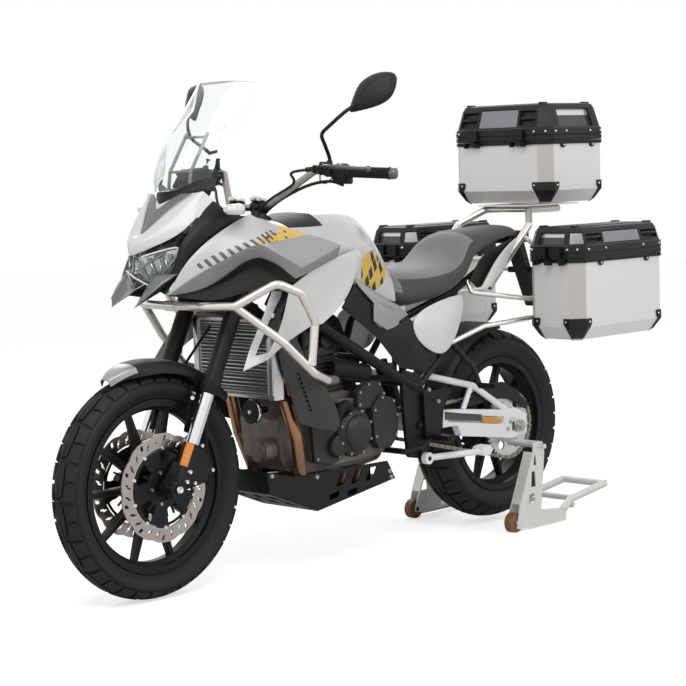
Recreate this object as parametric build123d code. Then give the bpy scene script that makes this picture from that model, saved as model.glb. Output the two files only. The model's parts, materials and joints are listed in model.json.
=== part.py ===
from build123d import *
import math
import os

os.makedirs("parts", exist_ok=True)

# Adventure motorcycle on a rear paddock stand, with three aluminium cases.
# Frame: +X forward, +Y to the rider's left, +Z up, floor at Z = 0, origin under the middle of the
# whole. A station is a distance in mm behind the front axle. Sizes are in mm, angles in degrees.

# ---- wheels and steering geometry -------------------------------------------------------------
WHEELBASE = 1505.0
STAND_REACH = 550.0            # rear axle back to the end of the stand's handle
REAR_LIFT = 14.5               # height of the rear tyre above the floor on the stand

FRONT_TYRE = dict(radius=329.3, width=112.0, seat_radius=241.3, rim_width=64.0)   # 110/80-19
REAR_TYRE = dict(radius=320.9, width=150.0, seat_radius=215.9, rim_width=108.0)   # 150/70-17
TYRE_WALL = 9.0
TREAD_THICKNESS = 15.0
RIM_WALL = 5.0
RIM_WELL_DEPTH = 17.0
RIM_FLANGE_HEIGHT = 11.0
SPOKES = 10

RAKE = 26.0                    # steering axis, back from vertical
CLAMP_OFFSET = 33.0            # fork tubes ahead of the steering axis
AXLE_OFFSET = 19.0             # axle ahead of the fork tubes
FORK_HALF = 105.0              # fork tube centre from the middle plane
OUTER_TUBE_R = 25.0
SLIDER_R = 20.5
FOOT_R = 27.0
FOOT_TOP = 140.0               # along the fork from the axle: top of the cast foot
OUTER_TUBE_START = 312.0
LOWER_CLAMP = 560.0
UPPER_CLAMP = 805.0
CLAMP_THICKNESS = 34.0
STEM_R = 17.0

FRONT_AXLE_R = 10.0
REAR_AXLE_R = 12.0
RUNNING_GAP = 0.05             # radial clearance of every shaft that turns in a bore
DISC_THICKNESS = 5.0
FRONT_DISC_R = 155.0
FRONT_DISC_Y = FORK_HALF - 39
REAR_DISC_R = 120.0
REAR_DISC_Y = -80.0

# ---- drive ------------------------------------------------------------------------------------
CHAIN_PITCH = 15.875
SPROCKET_TEETH = 44
DRIVE_TEETH = 15
CHAIN_Y = 95.0                 # middle of the chain from the middle plane
SPROCKET_THICKNESS = 6.0
CHAIN_PLATE = 2.5
CHAIN_HEIGHT = 14.0
CHAIN_SIDE_GAP = 1.7           # chain side plate to sprocket face
DRIVE_STATION, DRIVE_HEIGHT = 905.0, 405.0   # drive sprocket

# ---- swingarm ---------------------------------------------------------------------------------
PIVOT_STATION, PIVOT_HEIGHT = 990.0, 398.0
ARM_INNER = 112.0              # inner face of each arm from the middle plane
ARM_THICKNESS = 28.0
PIVOT_SHAFT_R = 10.0

# ---- luggage ----------------------------------------------------------------------------------
CASE_WALL = 3.0
CASE_CHAMFER = 38.0            # upright corner cut of each case
CASE_BEVEL = 42.0              # height of the sloping band above the base
BAND_HEIGHT = 42.0             # upright part of a lid
BAND_OVERHANG = 7.0            # lid band beyond the case wall
CAP_WIDTH = 76.0               # corner cap, across the chamfer
LID_GAP = 0.6                  # lid above the case rim
TOP_CASE = dict(front=1599.0, back=1932.0, middle=0.0, half=211.0, base=1080.0, height=210.0, lid=127.0)
PANNIER = dict(front=1424.0, back=1906.0, middle=360.0, half=110.0, base=641.0, height=264.0, lid=104.0)
HINGE_R = 5.0

# ---- stand ------------------------------------------------------------------------------------
STAND_HALF = 224.0             # ground roller from the middle plane
STAND_SHEET = 4.0
ROLLER_R = 33.0
ROLLER_WIDTH = 26.0
ROLLER_X = 137.0               # ground roller ahead of the rear axle
ROLLER_PIN_R = 6.0

# ---- worked out from the above ----------------------------------------------------------------
HALF_LENGTH = (FRONT_TYRE["radius"] + WHEELBASE + STAND_REACH) / 2
FRONT_AXLE_X = HALF_LENGTH - FRONT_TYRE["radius"]
FRONT_AXLE_Z = FRONT_TYRE["radius"]
REAR_AXLE_X = FRONT_AXLE_X - WHEELBASE
REAR_AXLE_Z = REAR_TYRE["radius"] + REAR_LIFT
SIDES = {"left": 1, "right": -1}
pieces = {}


def at(station, y, z):
    """A point by its station behind the front axle."""
    return Vector(FRONT_AXLE_X - station, y, z)


def behind(dx, y, z):
    """A point by its distance ahead of the rear axle."""
    return Vector(REAR_AXLE_X + dx, y, z)


def fork(along, ahead, y):
    """A point by its distance up the fork from the axle and ahead of the axle's line."""
    lean = math.radians(RAKE)
    x = FRONT_AXLE_X - along * math.sin(lean) + ahead * math.cos(lean)
    z = FRONT_AXLE_Z + along * math.cos(lean) + ahead * math.sin(lean)
    return Vector(x, y, z)


def mirrored(shape):
    return mirror(shape, about=Plane.XZ)


def both(shape):
    return shape + mirrored(shape)


def rod(start, end, radius, bore=0):
    length = (end - start).length
    disc = Plane(origin=start, z_dir=end - start) * Circle(radius)
    if bore:
        disc -= Plane(origin=start, z_dir=end - start) * Circle(bore)
    return extrude(disc, amount=length)


def bent_tube(points, radius, bend):
    path = FilletPolyline(*points, radius=bend)
    return sweep(Plane(origin=path @ 0, z_dir=path % 0) * Circle(radius), path=path)


def cross_shaft(centre, radius, y_low, y_high, bore=0):
    start = Vector(centre.X, y_low, centre.Z)
    return rod(start, Vector(centre.X, y_high, centre.Z), radius, bore)


def side_plate(points, y_low, y_high, corner=0):
    """A plate parallel to the middle plane, from points that give its outline in side view."""
    flat = [Vector(p.X, y_low, p.Z) for p in points]
    if corner:
        outline = FilletPolyline(*flat, radius=corner, close=True)
    else:
        outline = Polyline(*flat, close=True)
    return extrude(make_face(outline), amount=y_high - y_low, dir=(0, 1, 0))


def outline_at(pairs):
    return [at(station, 0, z) for station, z in pairs]


def skin(levels, inset):
    """A sheet lofted through level lines. levels: (height, [(station, y) front to back])."""
    faces = []
    for height, line in levels:
        outer = [at(station, y, height) for station, y in line]
        inner = [point + Vector(*inset, 0) for point in reversed(outer)]
        faces.append(make_face(Polyline(*outer, *inner, close=True)))
    return loft(faces, ruled=True)


def block(low, high):
    size = high - low
    return Pos(*((low + high) * 0.5)) * Box(abs(size.X), abs(size.Y), abs(size.Z))


# ---- wheels: built about the Y axis, then moved to the axle -------------------------------------
def tyre(radius, width, seat_radius, rim_width):
    side = width / 2
    flange_r = seat_radius + RIM_FLANGE_HEIGHT + 0.5
    belly = (radius + seat_radius) / 2
    shoulder_r = radius - 0.2 * (radius - seat_radius)
    shoulder_y = 0.86 * side
    half_rim = rim_width / 2
    inner_shoulder_r = shoulder_r - TREAD_THICKNESS * 0.8
    outer = (
        Line((seat_radius, half_rim), (flange_r, half_rim))
        + ThreePointArc((flange_r, half_rim), (belly, side), (shoulder_r, shoulder_y))
        + ThreePointArc((shoulder_r, shoulder_y), (radius, 0), (shoulder_r, -shoulder_y))
        + ThreePointArc((shoulder_r, -shoulder_y), (belly, -side), (flange_r, -half_rim))
        + Line((flange_r, -half_rim), (seat_radius, -half_rim))
        + Line((seat_radius, -half_rim), (seat_radius, half_rim))
    )
    bead = half_rim - TYRE_WALL
    inner_y = shoulder_y - TYRE_WALL
    air = (
        Line((seat_radius - 2, -bead), (flange_r, -bead))
        + ThreePointArc((flange_r, -bead), (belly, TYRE_WALL - side), (inner_shoulder_r, -inner_y))
        + ThreePointArc((inner_shoulder_r, -inner_y), (radius - TREAD_THICKNESS, 0), (inner_shoulder_r, inner_y))
        + ThreePointArc((inner_shoulder_r, inner_y), (belly, side - TYRE_WALL), (flange_r, bead))
        + Line((flange_r, bead), (seat_radius - 2, bead))
        + Line((seat_radius - 2, bead), (seat_radius - 2, -bead))
    )
    return revolve(make_face(outer), axis=Axis.Y) - revolve(make_face(air), axis=Axis.Y)


def rim(seat_radius, rim_width, hub_radius, hub_half, bore, **unused):
    half = rim_width / 2
    flange_r = seat_radius + RIM_FLANGE_HEIGHT
    well_r = seat_radius - RIM_WELL_DEPTH
    lip = half + RIM_WALL
    upper = [
        (flange_r, lip), (flange_r, half), (seat_radius, half), (seat_radius - 2, half * 0.72),
        (well_r, half * 0.45),
    ]
    lower = [
        (well_r - RIM_WALL, half * 0.35), (seat_radius - 2 - RIM_WALL, half * 0.72),
        (seat_radius - RIM_WALL - 3, lip),
    ]
    section = upper + [(r, -y) for r, y in reversed(upper)] + [(r, -y) for r, y in reversed(lower)] + lower
    ring = revolve(make_face(Polyline(*section, close=True)), axis=Axis.Y)
    spoke = loft(
        [
            Plane.YZ.offset(hub_radius - 6) * RectangleRounded(40, 24, 6),
            Plane.YZ.offset(well_r - RIM_WALL / 2) * RectangleRounded(24, 17, 5),
        ]
    )
    hub = Rot(90, 0, 0) * Cylinder(hub_radius, 2 * hub_half)
    wheel = ring + hub
    for number in range(SPOKES):
        wheel += Rot(0, 360 / SPOKES * number, 0) * spoke
    return wheel - Rot(90, 0, 0) * Cylinder(bore, 2 * hub_half + 1)


def brake_disc(radius, ring_width, hub_radius, lobes=10):
    """A wave-edged disc with its carrier, about the Y axis and centred on it."""
    ring_in = radius - ring_width
    face = Circle(radius) - Circle(hub_radius)
    for number in range(lobes):
        angle = math.radians(360 / lobes * number)
        face -= Pos(math.cos(angle) * (radius + 7), math.sin(angle) * (radius + 7)) * Circle(15)
    window = make_face(
        Polyline(
            (hub_radius + 14, -10), (ring_in - 9, -0.29 * ring_in), (ring_in - 1, 0),
            (ring_in - 9, 0.29 * ring_in), (hub_radius + 14, 10), close=True,
        )
    )
    for number in range(6):
        face -= Rot(0, 0, 60 * number + 18) * window
    return Rot(90, 0, 0) * Pos(0, 0, -DISC_THICKNESS / 2) * extrude(face, amount=DISC_THICKNESS)


front_hub = Pos(FRONT_AXLE_X, 0, FRONT_AXLE_Z)
rear_hub = Pos(REAR_AXLE_X, 0, REAR_AXLE_Z)
pieces["front_tyre"] = front_hub * tyre(**FRONT_TYRE)
pieces["rear_tyre"] = rear_hub * tyre(**REAR_TYRE)
pieces["front_rim"] = front_hub * rim(
    hub_radius=40, hub_half=FRONT_DISC_Y - DISC_THICKNESS / 2, bore=FRONT_AXLE_R + RUNNING_GAP, **FRONT_TYRE
)
pieces["rear_rim"] = rear_hub * rim(
    hub_radius=48, hub_half=-REAR_DISC_Y - DISC_THICKNESS / 2, bore=REAR_AXLE_R + RUNNING_GAP, **REAR_TYRE
)
front_disc = brake_disc(FRONT_DISC_R, 32, 22)
pieces["front_brake_discs"] = front_hub * (Pos(0, FRONT_DISC_Y, 0) * front_disc + Pos(0, -FRONT_DISC_Y, 0) * front_disc)
pieces["rear_brake_disc"] = rear_hub * Pos(0, REAR_DISC_Y, 0) * brake_disc(REAR_DISC_R, 28, 24)

# ---- rear sprocket and chain --------------------------------------------------------------------
PITCH_R = CHAIN_PITCH / 2 / math.sin(math.pi / SPROCKET_TEETH)
DRIVE_R = CHAIN_PITCH / 2 / math.sin(math.pi / DRIVE_TEETH)


def sprocket(pitch_r, teeth, bore):
    tip, root = pitch_r + 4, pitch_r - 5
    corners = []
    for number in range(teeth):
        for share, radius in ((-0.34, root), (-0.12, tip), (0.12, tip), (0.34, root)):
            angle = 2 * math.pi * (number + share) / teeth
            corners.append((radius * math.cos(angle), radius * math.sin(angle)))
    face = make_face(Polyline(*corners, close=True)) - Circle(bore)
    for number in range(6):
        face -= Rot(0, 0, 60 * number) * Pos((root + bore) / 2 + 4, 0) * Circle(15)
    return Rot(90, 0, 0) * Pos(0, 0, -SPROCKET_THICKNESS / 2) * extrude(face, amount=SPROCKET_THICKNESS)


hub_to_sprocket = Rot(90, 0, 0) * Cylinder(58, CHAIN_Y - SPROCKET_THICKNESS / 2 + REAR_DISC_Y + DISC_THICKNESS / 2)
carrier_middle = (CHAIN_Y - SPROCKET_THICKNESS / 2 - REAR_DISC_Y - DISC_THICKNESS / 2) / 2
sprocket_bore = REAR_AXLE_R + 2
pieces["rear_sprocket"] = rear_hub * (
    Pos(0, CHAIN_Y, 0) * sprocket(PITCH_R, SPROCKET_TEETH, 40)
    + Pos(0, carrier_middle, 0) * hub_to_sprocket
    + Pos(0, CHAIN_Y, 0) * (Rot(90, 0, 0) * Cylinder(46, SPROCKET_THICKNESS))
    - Rot(90, 0, 0) * Cylinder(sprocket_bore, 400)
)


def chain_loop(offset):
    """The belt-shaped outline of the chain in side view, moved out by offset from the pitch line."""
    drive = at(DRIVE_STATION, 0, DRIVE_HEIGHT)
    wheel = behind(0, 0, REAR_AXLE_Z)
    span = drive - wheel
    reach = span.length
    slope = math.atan2(span.Z, span.X)
    spread = math.acos((PITCH_R - DRIVE_R) / reach)
    ends = {}
    for name, centre, radius in (("wheel", wheel, PITCH_R), ("drive", drive, DRIVE_R)):
        r = radius + offset
        for turn, place in ((spread, "top"), (-spread, "low")):
            ends[name, place] = centre + Vector(r * math.cos(slope + turn), 0, r * math.sin(slope + turn))
    away = Vector(math.cos(slope), 0, math.sin(slope))
    return (
        Line(ends["wheel", "top"], ends["drive", "top"])
        + ThreePointArc(ends["drive", "top"], drive + away * (DRIVE_R + offset), ends["drive", "low"])
        + Line(ends["drive", "low"], ends["wheel", "low"])
        + ThreePointArc(ends["wheel", "low"], wheel - away * (PITCH_R + offset), ends["wheel", "top"])
    ), ends


outer_loop, _ = chain_loop(CHAIN_HEIGHT / 2)
inner_loop, _ = chain_loop(-CHAIN_HEIGHT / 2)
_, pitch_ends = chain_loop(0)
chain_face = make_face(outer_loop) - make_face(inner_loop)
plate_y = SPROCKET_THICKNESS / 2 + CHAIN_SIDE_GAP
chain = Pos(0, CHAIN_Y + plate_y, 0) * extrude(chain_face, amount=CHAIN_PLATE, dir=(0, 1, 0))
chain += Pos(0, CHAIN_Y - plate_y - CHAIN_PLATE, 0) * extrude(chain_face, amount=CHAIN_PLATE, dir=(0, 1, 0))
for place in ("top", "low"):
    start, end = pitch_ends["wheel", place], pitch_ends["drive", place]
    for number in range(1, 7):
        pin = start + (end - start) * (number / 7)
        chain += cross_shaft(pin, 3.5, CHAIN_Y - plate_y - 1, CHAIN_Y + plate_y + 1)
pieces["drive_chain"] = chain

# ---- fork, clamps and stem ----------------------------------------------------------------------
TUBE_LINE = -AXLE_OFFSET
STEER_LINE = -AXLE_OFFSET - CLAMP_OFFSET
OUTER_TUBE_TOP = UPPER_CLAMP + CLAMP_THICKNESS + 14

pieces["fork_outer_tubes"] = both(
    rod(fork(OUTER_TUBE_START, TUBE_LINE, FORK_HALF), fork(OUTER_TUBE_TOP, TUBE_LINE, FORK_HALF), OUTER_TUBE_R)
    + rod(
        fork(OUTER_TUBE_START, TUBE_LINE, FORK_HALF), fork(OUTER_TUBE_START + 46, TUBE_LINE, FORK_HALF),
        OUTER_TUBE_R + 3,
    )
)
pieces["fork_sliders"] = both(
    rod(fork(FOOT_TOP, TUBE_LINE, FORK_HALF), fork(OUTER_TUBE_START, TUBE_LINE, FORK_HALF), SLIDER_R)
)

CALIPER_ANGLE = 154.0          # behind and above the front axle
CALIPER_RADIUS = 136.0
CALIPER_LONG, CALIPER_DEEP = 104.0, 62.0
CALIPER_SLOT = DISC_THICKNESS + 6
caliper_plane = Plane(
    origin=(
        FRONT_AXLE_X + CALIPER_RADIUS * math.cos(math.radians(CALIPER_ANGLE)), 0,
        FRONT_AXLE_Z + CALIPER_RADIUS * math.sin(math.radians(CALIPER_ANGLE)),
    ),
    x_dir=(math.cos(math.radians(CALIPER_ANGLE)), 0, math.sin(math.radians(CALIPER_ANGLE))),
    z_dir=(0, 1, 0),
)


def caliper(plane, disc_y, disc_r, centre_r, inner, outer, long_side, deep):
    """A caliper round the disc; inner and outer are its faces' distances from the disc's middle."""
    body = plane * Pos(0, 0, disc_y - inner) * extrude(RectangleRounded(deep, long_side, 14), amount=inner + outer)
    slot_end = disc_r + 4 - centre_r
    slot = plane * Pos(slot_end - deep, 0, disc_y - CALIPER_SLOT / 2) * extrude(
        Rectangle(2 * deep, long_side + 1), amount=CALIPER_SLOT
    )
    return body - slot


pieces["front_brake_calipers"] = both(
    caliper(caliper_plane, FRONT_DISC_Y, FRONT_DISC_R, CALIPER_RADIUS, 20, 30, CALIPER_LONG, CALIPER_DEEP)
)

foot = rod(fork(24, TUBE_LINE, FORK_HALF), fork(FOOT_TOP, TUBE_LINE, FORK_HALF), FOOT_R)
foot += cross_shaft(fork(0, 0, 0), 27, FORK_HALF - FOOT_R, FORK_HALF + FOOT_R)
foot += side_plate(
    [fork(-14, -8, 0), fork(8, 24, 0), fork(70, 8, 0), fork(120, -34, 0), fork(96, -92, 0), fork(60, -112, 0),
     fork(24, -60, 0)],
    FORK_HALF - FOOT_R + 3, FORK_HALF + 8, 6,
)
foot -= cross_shaft(fork(0, 0, 0), FRONT_AXLE_R, 0, 200)
foot -= caliper_plane * extrude(Rectangle(CALIPER_DEEP, CALIPER_LONG), amount=FRONT_DISC_Y + 30)
pieces["fork_feet"] = both(foot)
pieces["front_axle"] = cross_shaft(fork(0, 0, 0), FRONT_AXLE_R, -FORK_HALF - FOOT_R - 6, FORK_HALF + FOOT_R + 6)


def fork_clamp(along):
    plane = Plane(
        origin=fork(along, 0, 0), x_dir=(math.cos(math.radians(RAKE)), 0, math.sin(math.radians(RAKE))),
        z_dir=(-math.sin(math.radians(RAKE)), 0, math.cos(math.radians(RAKE))),
    )
    ear = OUTER_TUBE_R + 10
    outline = make_hull(
        (
            Pos(TUBE_LINE, FORK_HALF) * Circle(ear) + Pos(TUBE_LINE, -FORK_HALF) * Circle(ear)
            + Pos(STEER_LINE, 0) * Circle(34)
        ).edges()
    )
    clamp = plane * extrude(outline, amount=CLAMP_THICKNESS)
    for side in SIDES.values():
        clamp -= rod(fork(along - 1, TUBE_LINE, side * FORK_HALF), fork(along + 60, TUBE_LINE, side * FORK_HALF),
                     OUTER_TUBE_R)
    return clamp


HEAD_LOW = LOWER_CLAMP + CLAMP_THICKNESS + 6
HEAD_HIGH = UPPER_CLAMP - 6
pieces["fork_clamps"] = (
    fork_clamp(LOWER_CLAMP) + fork_clamp(UPPER_CLAMP)
    + rod(fork(LOWER_CLAMP + 5, STEER_LINE, 0), fork(UPPER_CLAMP + 12, STEER_LINE, 0), STEM_R)
)

# ---- handlebar ------------------------------------------------------------------------------------
BAR_R = 11.0
GRIP_R = 16.5
BAR_CLAMP = 52.0               # bar centre above the upper clamp's top face
bar_middle = fork(UPPER_CLAMP + CLAMP_THICKNESS + BAR_CLAMP, STEER_LINE + 12, 0)
grip_end = at(588, 446, 1203)
grip_start = at(548, 308, 1211)
grip_axis = (grip_end - grip_start).normalized()
bar_knee = grip_start - grip_axis * 112
bar_foot = Vector(bar_middle.X, 78, bar_middle.Z)
half_bar = bent_tube([Vector(bar_middle.X, 0, bar_middle.Z), bar_foot, bar_knee, grip_end], BAR_R, 30)
pieces["handlebar"] = both(half_bar)
risers = rod(fork(UPPER_CLAMP + CLAMP_THICKNESS, STEER_LINE + 12, 48),
             Vector(bar_middle.X, 48, bar_middle.Z), 17)
risers += cross_shaft(bar_middle, 21, 30, 66)
risers -= cross_shaft(bar_middle, BAR_R, 0, 200)
pieces["bar_risers"] = both(risers)
pieces["handlebar_grips"] = both(
    rod(grip_start, grip_end, GRIP_R, BAR_R) + rod(grip_end, grip_end + grip_axis * 22, 17)
)
pod_centre = grip_start - grip_axis * 26
pod = rod(pod_centre - grip_axis * 18, grip_start, 24, BAR_R)
perch = grip_start - grip_axis * 62
pod += rod(perch - grip_axis * 10, perch + grip_axis * 16, 17, BAR_R)
lever_root = perch + Vector(34, 6, 2)
pod += bent_tube([perch + Vector(13, 0, 2), lever_root, grip_start + grip_axis * 50 + Vector(58, 0, -4),
                  grip_end + Vector(46, 0, -6)], 6, 10)
pieces["handlebar_controls"] = both(pod)

# ---- mirrors -----------------------------------------------------------------------------------------
mirror_foot = perch + Vector(0, 0, 17.2)
mirror_knee = at(461, 285, 1323)
mirror_neck = at(497, 350, 1384)
mirror_middle = at(577, 405, 1438)
stem = bent_tube([mirror_foot, mirror_knee, mirror_neck, mirror_middle + Vector(14, 0, 0)], 5.5, 14)
stem += rod(mirror_foot, mirror_foot + Vector(0, 0, 22), 9)
mirror_plane = Plane(origin=mirror_middle, x_dir=(-0.55, 0.6, 0.58), z_dir=(-0.83, -0.38, -0.39))
head = mirror_plane * loft(
    [
        Pos(0, 0, -12) * Ellipse(78, 42),
        Pos(0, 0, 6) * Ellipse(84, 48),
        Pos(0, 0, 22) * Ellipse(52, 26),
    ]
)
pieces["mirrors"] = both(stem + head)

# ---- front mudguard ----------------------------------------------------------------------------------
GUARD_GAP = 34.0
GUARD_HALF = FORK_HALF - 33
guard_r = FRONT_TYRE["radius"] + GUARD_GAP
guard_section = make_face(
    Polyline(
        (guard_r - 34, GUARD_HALF), (guard_r - 4, GUARD_HALF - 3), (guard_r + 8, GUARD_HALF * 0.45),
        (guard_r + 8, -GUARD_HALF * 0.45), (guard_r - 4, 3 - GUARD_HALF), (guard_r - 34, -GUARD_HALF),
        (guard_r - 34, 4 - GUARD_HALF), (guard_r - 8, 7 - GUARD_HALF), (guard_r + 4, -GUARD_HALF * 0.42),
        (guard_r + 4, GUARD_HALF * 0.42), (guard_r - 8, GUARD_HALF - 7), (guard_r - 34, GUARD_HALF - 4), close=True,
    )
)
GUARD_SWEEP = 74.0
guard = front_hub * Rot(0, -64, 0) * revolve(guard_section, axis=Axis.Y, revolution_arc=-GUARD_SWEEP)
stay = side_plate(
    [fork(172, -2, 0), fork(172, -38, 0), fork(215, -46, 0), fork(330, -70, 0), fork(352, -30, 0), fork(300, 22, 0),
     fork(215, 4, 0)],
    GUARD_HALF - 3, GUARD_HALF + 5, 6,
)
guard_clip = rod(fork(190, TUBE_LINE, GUARD_HALF + 2), fork(190, TUBE_LINE, FORK_HALF - SLIDER_R), 7)
pieces["front_mudguard"] = guard + both(stay + guard_clip)

# ---- main frame --------------------------------------------------------------------------------------
SPAR_R = 17.0
head_tube = rod(fork(HEAD_LOW, STEER_LINE, 0), fork(HEAD_HIGH, STEER_LINE, 0), 32)
PLATE_INNER = ARM_INNER + ARM_THICKNESS + 3
PLATE_OUTER = PLATE_INNER + 14
spar = bent_tube([fork(HEAD_HIGH - 50, STEER_LINE - 18, 26), at(500, 126, 800), at(875, 142, 579), at(985, 150, 520)],
                 SPAR_R, 40)
down_tube = bent_tube([fork(HEAD_LOW + 30, STEER_LINE - 18, 24), at(462, 122, 720), at(520, 122, 560)], 13, 30)
brace = rod(at(510, 128, 790), at(520, 122, 560), 10)
pivot_plate = side_plate(
    outline_at([(915, 585), (1000, 560), (1030, 470), (1040, 330), (1000, 290), (940, 300), (925, 420)]),
    PLATE_INNER, PLATE_OUTER, 12,
)
cross_tube = cross_shaft(at(950, 0, 540), 15, -PLATE_INNER - 1, PLATE_INNER + 1)
cross_tube += cross_shaft(at(985, 0, 308), 10, -PLATE_INNER - 1, PLATE_INNER + 1)
cross_tube += cross_shaft(at(790, 0, 630), 12, -136, 136)
engine_mount = cross_shaft(at(520, 0, 575), 12, 96, 122)
main_frame = both(spar + down_tube + brace + pivot_plate + engine_mount) + head_tube + cross_tube
main_frame -= rod(fork(HEAD_LOW - 5, STEER_LINE, 0), fork(HEAD_HIGH + 5, STEER_LINE, 0), STEM_R + RUNNING_GAP)
main_frame -= cross_shaft(at(PIVOT_STATION, 0, PIVOT_HEIGHT), PIVOT_SHAFT_R, -200, 200)
pieces["main_frame"] = main_frame

# ---- swingarm ------------------------------------------------------------------------------------------
arm_out = ARM_INNER + ARM_THICKNESS
pivot = at(PIVOT_STATION, 0, PIVOT_HEIGHT)
axle = behind(0, 0, REAR_AXLE_Z)
beam = side_plate(
    [
        pivot + Vector(26, 0, 20), pivot + Vector(26, 0, -24), pivot + Vector(-206, 0, -26),
        pivot + Vector(-224, 0, -64), axle + Vector(92, 0, -30), axle + Vector(40, 0, -38),
        axle + Vector(-46, 0, -30), axle + Vector(-46, 0, 34), axle + Vector(20, 0, 64),
        axle + Vector(64, 0, 60), pivot + Vector(-190, 0, 28), pivot + Vector(-90, 0, 34),
    ],
    ARM_INNER, arm_out, 10,
)
window_front = pivot + Vector(-160, 0, 16)
window_back = axle + Vector(72, 0, 38)
window_drop = Vector(0, 0, -26)
beam -= side_plate(
    [window_front, window_back, window_back + window_drop, window_front + window_drop], arm_out - 12, arm_out + 1, 4
)
SLOT_HALF = REAR_AXLE_R + 4
beam -= side_plate(
    [axle + Vector(32, 0, SLOT_HALF), axle + Vector(32, 0, -SLOT_HALF), axle + Vector(-30, 0, -SLOT_HALF),
     axle + Vector(-30, 0, SLOT_HALF)],
    ARM_INNER - 1, arm_out + 1, 4,
)
truss_y = ARM_INNER + ARM_THICKNESS / 2
truss = bent_tube(
    [pivot + Vector(4, truss_y, 4), pivot + Vector(-62, truss_y, 152), pivot + Vector(-300, truss_y, 94),
     axle + Vector(44, truss_y, 56)],
    11, 26,
)
truss += rod(pivot + Vector(-292, truss_y, 94), pivot + Vector(-250, truss_y, 20), 9)
bridge = block(pivot + Vector(-96, -ARM_INNER - 1, -18), pivot + Vector(-66, ARM_INNER + 1, 22))
sleeve = cross_shaft(pivot, 24, -ARM_INNER - 1, ARM_INNER + 1)
swingarm = both(beam + truss) + bridge + sleeve
swingarm -= cross_shaft(pivot, PIVOT_SHAFT_R, -200, 200)
pieces["swingarm"] = swingarm
pieces["swingarm_pivot"] = cross_shaft(pivot, PIVOT_SHAFT_R, -PLATE_OUTER - 8, PLATE_OUTER + 8)

axle_blocks = both(
    block(axle + Vector(-22, ARM_INNER, -SLOT_HALF), axle + Vector(22, arm_out + 4, SLOT_HALF))
    + cross_shaft(axle, 20, arm_out + 4, arm_out + 14)
) - cross_shaft(axle, REAR_AXLE_R, -300, 300)
pieces["axle_blocks"] = axle_blocks
pieces["rear_axle"] = cross_shaft(axle, REAR_AXLE_R, -arm_out - 24, arm_out + 24)

# ---- engine -----------------------------------------------------------------------------------------
CASE_HALF = 82.0
crankcase = side_plate(
    outline_at([(452, 350), (440, 470), (480, 528), (700, 538), (860, 510), (930, 460), (944, 380), (900, 318),
                (780, 296), (560, 296), (480, 312)]),
    -CASE_HALF, CASE_HALF, 16,
)
shoulder = side_plate(
    outline_at([(560, 330), (548, 480), (600, 520), (840, 500), (846, 400), (820, 320), (640, 310)]),
    CASE_HALF - 1, 108, 18,
)
pieces["crankcase"] = crankcase + both(shoulder)


def round_cover(centre, radius, y_start, y_end, rise):
    """A domed cover: a stepped disc with a rounded rim on the side of the crankcase."""
    cover = cross_shaft(centre, radius, y_start, y_end)
    dome = cross_shaft(centre, radius * 0.72, y_end - 1, y_end + rise)
    return chamfer(cover.edges().filter_by(GeomType.CIRCLE).sort_by(Axis.Y)[-1], 6) + dome


generator = round_cover(at(727, 0, 405), 74, 108, 140, 16)
generator += cross_shaft(at(655, 0, 372), 34, 108, 134)
pieces["generator_cover"] = generator
pieces["sprocket_cover"] = side_plate(
    outline_at([(806, 372), (800, 470), (838, 512), (900, 494), (918, 440), (912, 372), (880, 340), (826, 342)]),
    109, 139, 12,
)
clutch = mirrored(round_cover(at(752, 0, 412), 92, 108, 138, 12))
clutch += mirrored(cross_shaft(at(640, 0, 385), 46, 108, 130))
pieces["clutch_cover"] = clutch

FINS = 6
cylinders = side_plate(outline_at([(500, 520), (716, 532), (694, 652), (480, 640)]), -96, 96) - crankcase
fin_step = 110 / FINS
for number in range(FINS):
    lift = 14 + fin_step * number
    groove = side_plate(
        outline_at([(490, 526 + lift), (730, 538 + lift), (730, 546 + lift), (490, 534 + lift)]), 86, 97
    )
    cylinders -= both(groove)
pieces["cylinder_block"] = cylinders
head = side_plate(
    outline_at([(480, 640), (694, 652), (684, 722), (640, 766), (520, 758), (464, 700)]), -104, 104, 10
)
head += both(cross_shaft(at(640, 0, 700), 20, 103, 112))
pieces["cylinder_head"] = head
pieces["oil_filter"] = (
    rod(at(443, 40, 380), at(398, 40, 380), 36) + rod(at(398, 40, 380), at(392, 40, 380), 30)
)
pieces["horn"] = rod(at(392, 34, 502), at(376, 34, 502), 36) + rod(at(442, 34, 502), at(392, 34, 502), 10)

# ---- radiator and exhaust ---------------------------------------------------------------------------
RADIATOR_FRONT, RADIATOR_BACK = 347.0, 377.0
RADIATOR_LOW, RADIATOR_HIGH = 556.0, 780.0
RADIATOR_HALF = 150.0
TANK_WIDTH = 24.0
FIN_ROWS = 22
core = block(at(RADIATOR_BACK, -RADIATOR_HALF, RADIATOR_LOW), at(RADIATOR_FRONT, RADIATOR_HALF, RADIATOR_HIGH))
row_step = (RADIATOR_HIGH - RADIATOR_LOW) / FIN_ROWS
for number in range(FIN_ROWS):
    z = RADIATOR_LOW + row_step * (number + 0.5)
    core -= block(at(RADIATOR_FRONT + 6, -RADIATOR_HALF + 6, z - row_step * 0.28),
                  at(RADIATOR_FRONT - 1, RADIATOR_HALF - 6, z + row_step * 0.28))
radiator = core + both(
    block(at(RADIATOR_BACK + 6, RADIATOR_HALF, RADIATOR_LOW - 8),
          at(RADIATOR_FRONT - 2, RADIATOR_HALF + TANK_WIDTH, RADIATOR_HIGH + 4))
)
pieces["radiator"] = radiator
pieces["radiator_guards"] = both(
    skin(
        [
            (330, [(470, 176), (585, 178)]),
            (450, [(415, 186), (600, 182)]),
            (620, [(384, 186), (520, 188)]),
            (760, [(384, 192), (420, 196)]),
        ],
        (0, -5),
    )
)

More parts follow.
